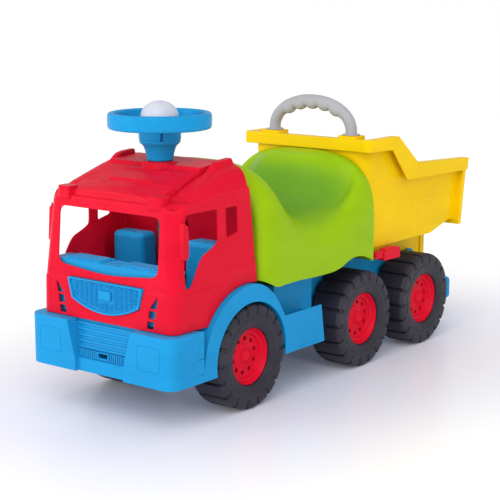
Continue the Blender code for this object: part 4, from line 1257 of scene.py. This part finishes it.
def add_stage():
    bm = bmesh.new()
    bmesh.ops.create_circle(bm, cap_ends=True, segments=96, radius=120.0)
    studio = loose_object(bm, "studio_floor")
    studio.location.z = -0.0002
    surface = bpy.data.materials.new("studio_floor")
    surface.use_nodes = True
    tree = surface.node_tree
    mapping = add_node(tree, "Mapping", Vector=add_node(tree, "TexCoord").outputs["Object"],
                       Scale=(1.35, 0.85, 1.0))
    reach = tree.nodes.new("ShaderNodeVectorMath")
    reach.operation = "LENGTH"
    connect(tree, mapping.outputs["Vector"], reach.inputs[0])
    # Painted shade: the floor turns a darker lavender towards the truck.
    floor_shade = add_ramp(tree, reach.outputs["Value"], (0.30, (0.86, 0.86, 0.98)), (0.80, (0.985, 0.985, 0.985)))
    floor_shade.color_ramp.interpolation = "EASE"
    # Painted light: the floor glows, though it is no lamp, more and more away from the truck.
    glow = map_range(tree, reach.outputs["Value"], 0.25, 1.00, 0.04, 0.24)
    shader = tree.nodes["Principled BSDF"]
    for socket, value in (("Base Color", floor_shade.outputs["Color"]), ("Emission Color", (1, 1, 1, 1)),
                          ("Emission Strength", glow.outputs["Result"]), ("Roughness", 0.30),
                          ("Specular IOR Level", 0.25)):
        connect(tree, value, shader.inputs[socket])
    studio.data.materials.append(surface)


def pointed(name, data, direction):
    """A light or camera that looks along a direction."""
    made = linked(name, data)
    made.rotation_mode = "QUATERNION"
    made.rotation_quaternion = Vector(direction).to_track_quat("-Z", "Y")
    return made


def add_light(name, place, target, size, power):
    data = bpy.data.lights.new(name, "AREA")
    data.shape = "RECTANGLE"
    data.size, data.size_y = size
    data.energy = power
    pointed(name, data, Vector(target) - Vector(place)).location = place


def add_studio():
    scene = bpy.context.scene
    scene.view_settings.view_transform = "Standard"
    world = bpy.data.worlds.new("studio")
    world.use_nodes = True
    background = world.node_tree.nodes["Background"]
    background.inputs["Color"].default_value = (1.0, 1.0, 1.0, 1)
    background.inputs["Strength"].default_value = 0.60
    scene.world = world
    key = bpy.data.lights.new("key", "SUN")
    key.energy = 1.30
    key.angle = radians(50)
    pointed("key", key, (-0.300, 0.690, -0.660))
    add_light("front_softbox", (-1.9, -2.9, 1.0), (0, -0.2, 0.25), (1.6, 1.4), 28)
    add_light("cab_fill", (0, SHIFT - 0.070, 0.318), (0, SHIFT - 0.070, 0), (0.16, 0.06), 0.09)
    add_light("strip_softbox", (2.2, -0.8, 1.0), (0, 0, 0.25), (0.20, 1.2), 6)

    data = bpy.data.cameras.new("camera")
    data.lens = 99.96
    data.sensor_width = 36
    camera = pointed("camera", data, (-0.6032, 0.7747, -0.1897))
    camera.location = (1.3655, -1.8219, 0.6286)
    scene.camera = camera


add_studio()
add_stage()
add_cab()
add_grille()
add_dashboard()
add_cab_seats()
add_bumper()
for side_sign, side_name in SIDES:
    add_fender(side_sign, side_name)
    add_step_tray(side_sign, side_name)
add_saddle()
add_steering()
add_horn()
add_bucket()
add_handle()
add_latch()
add_wheels()
add_carried()
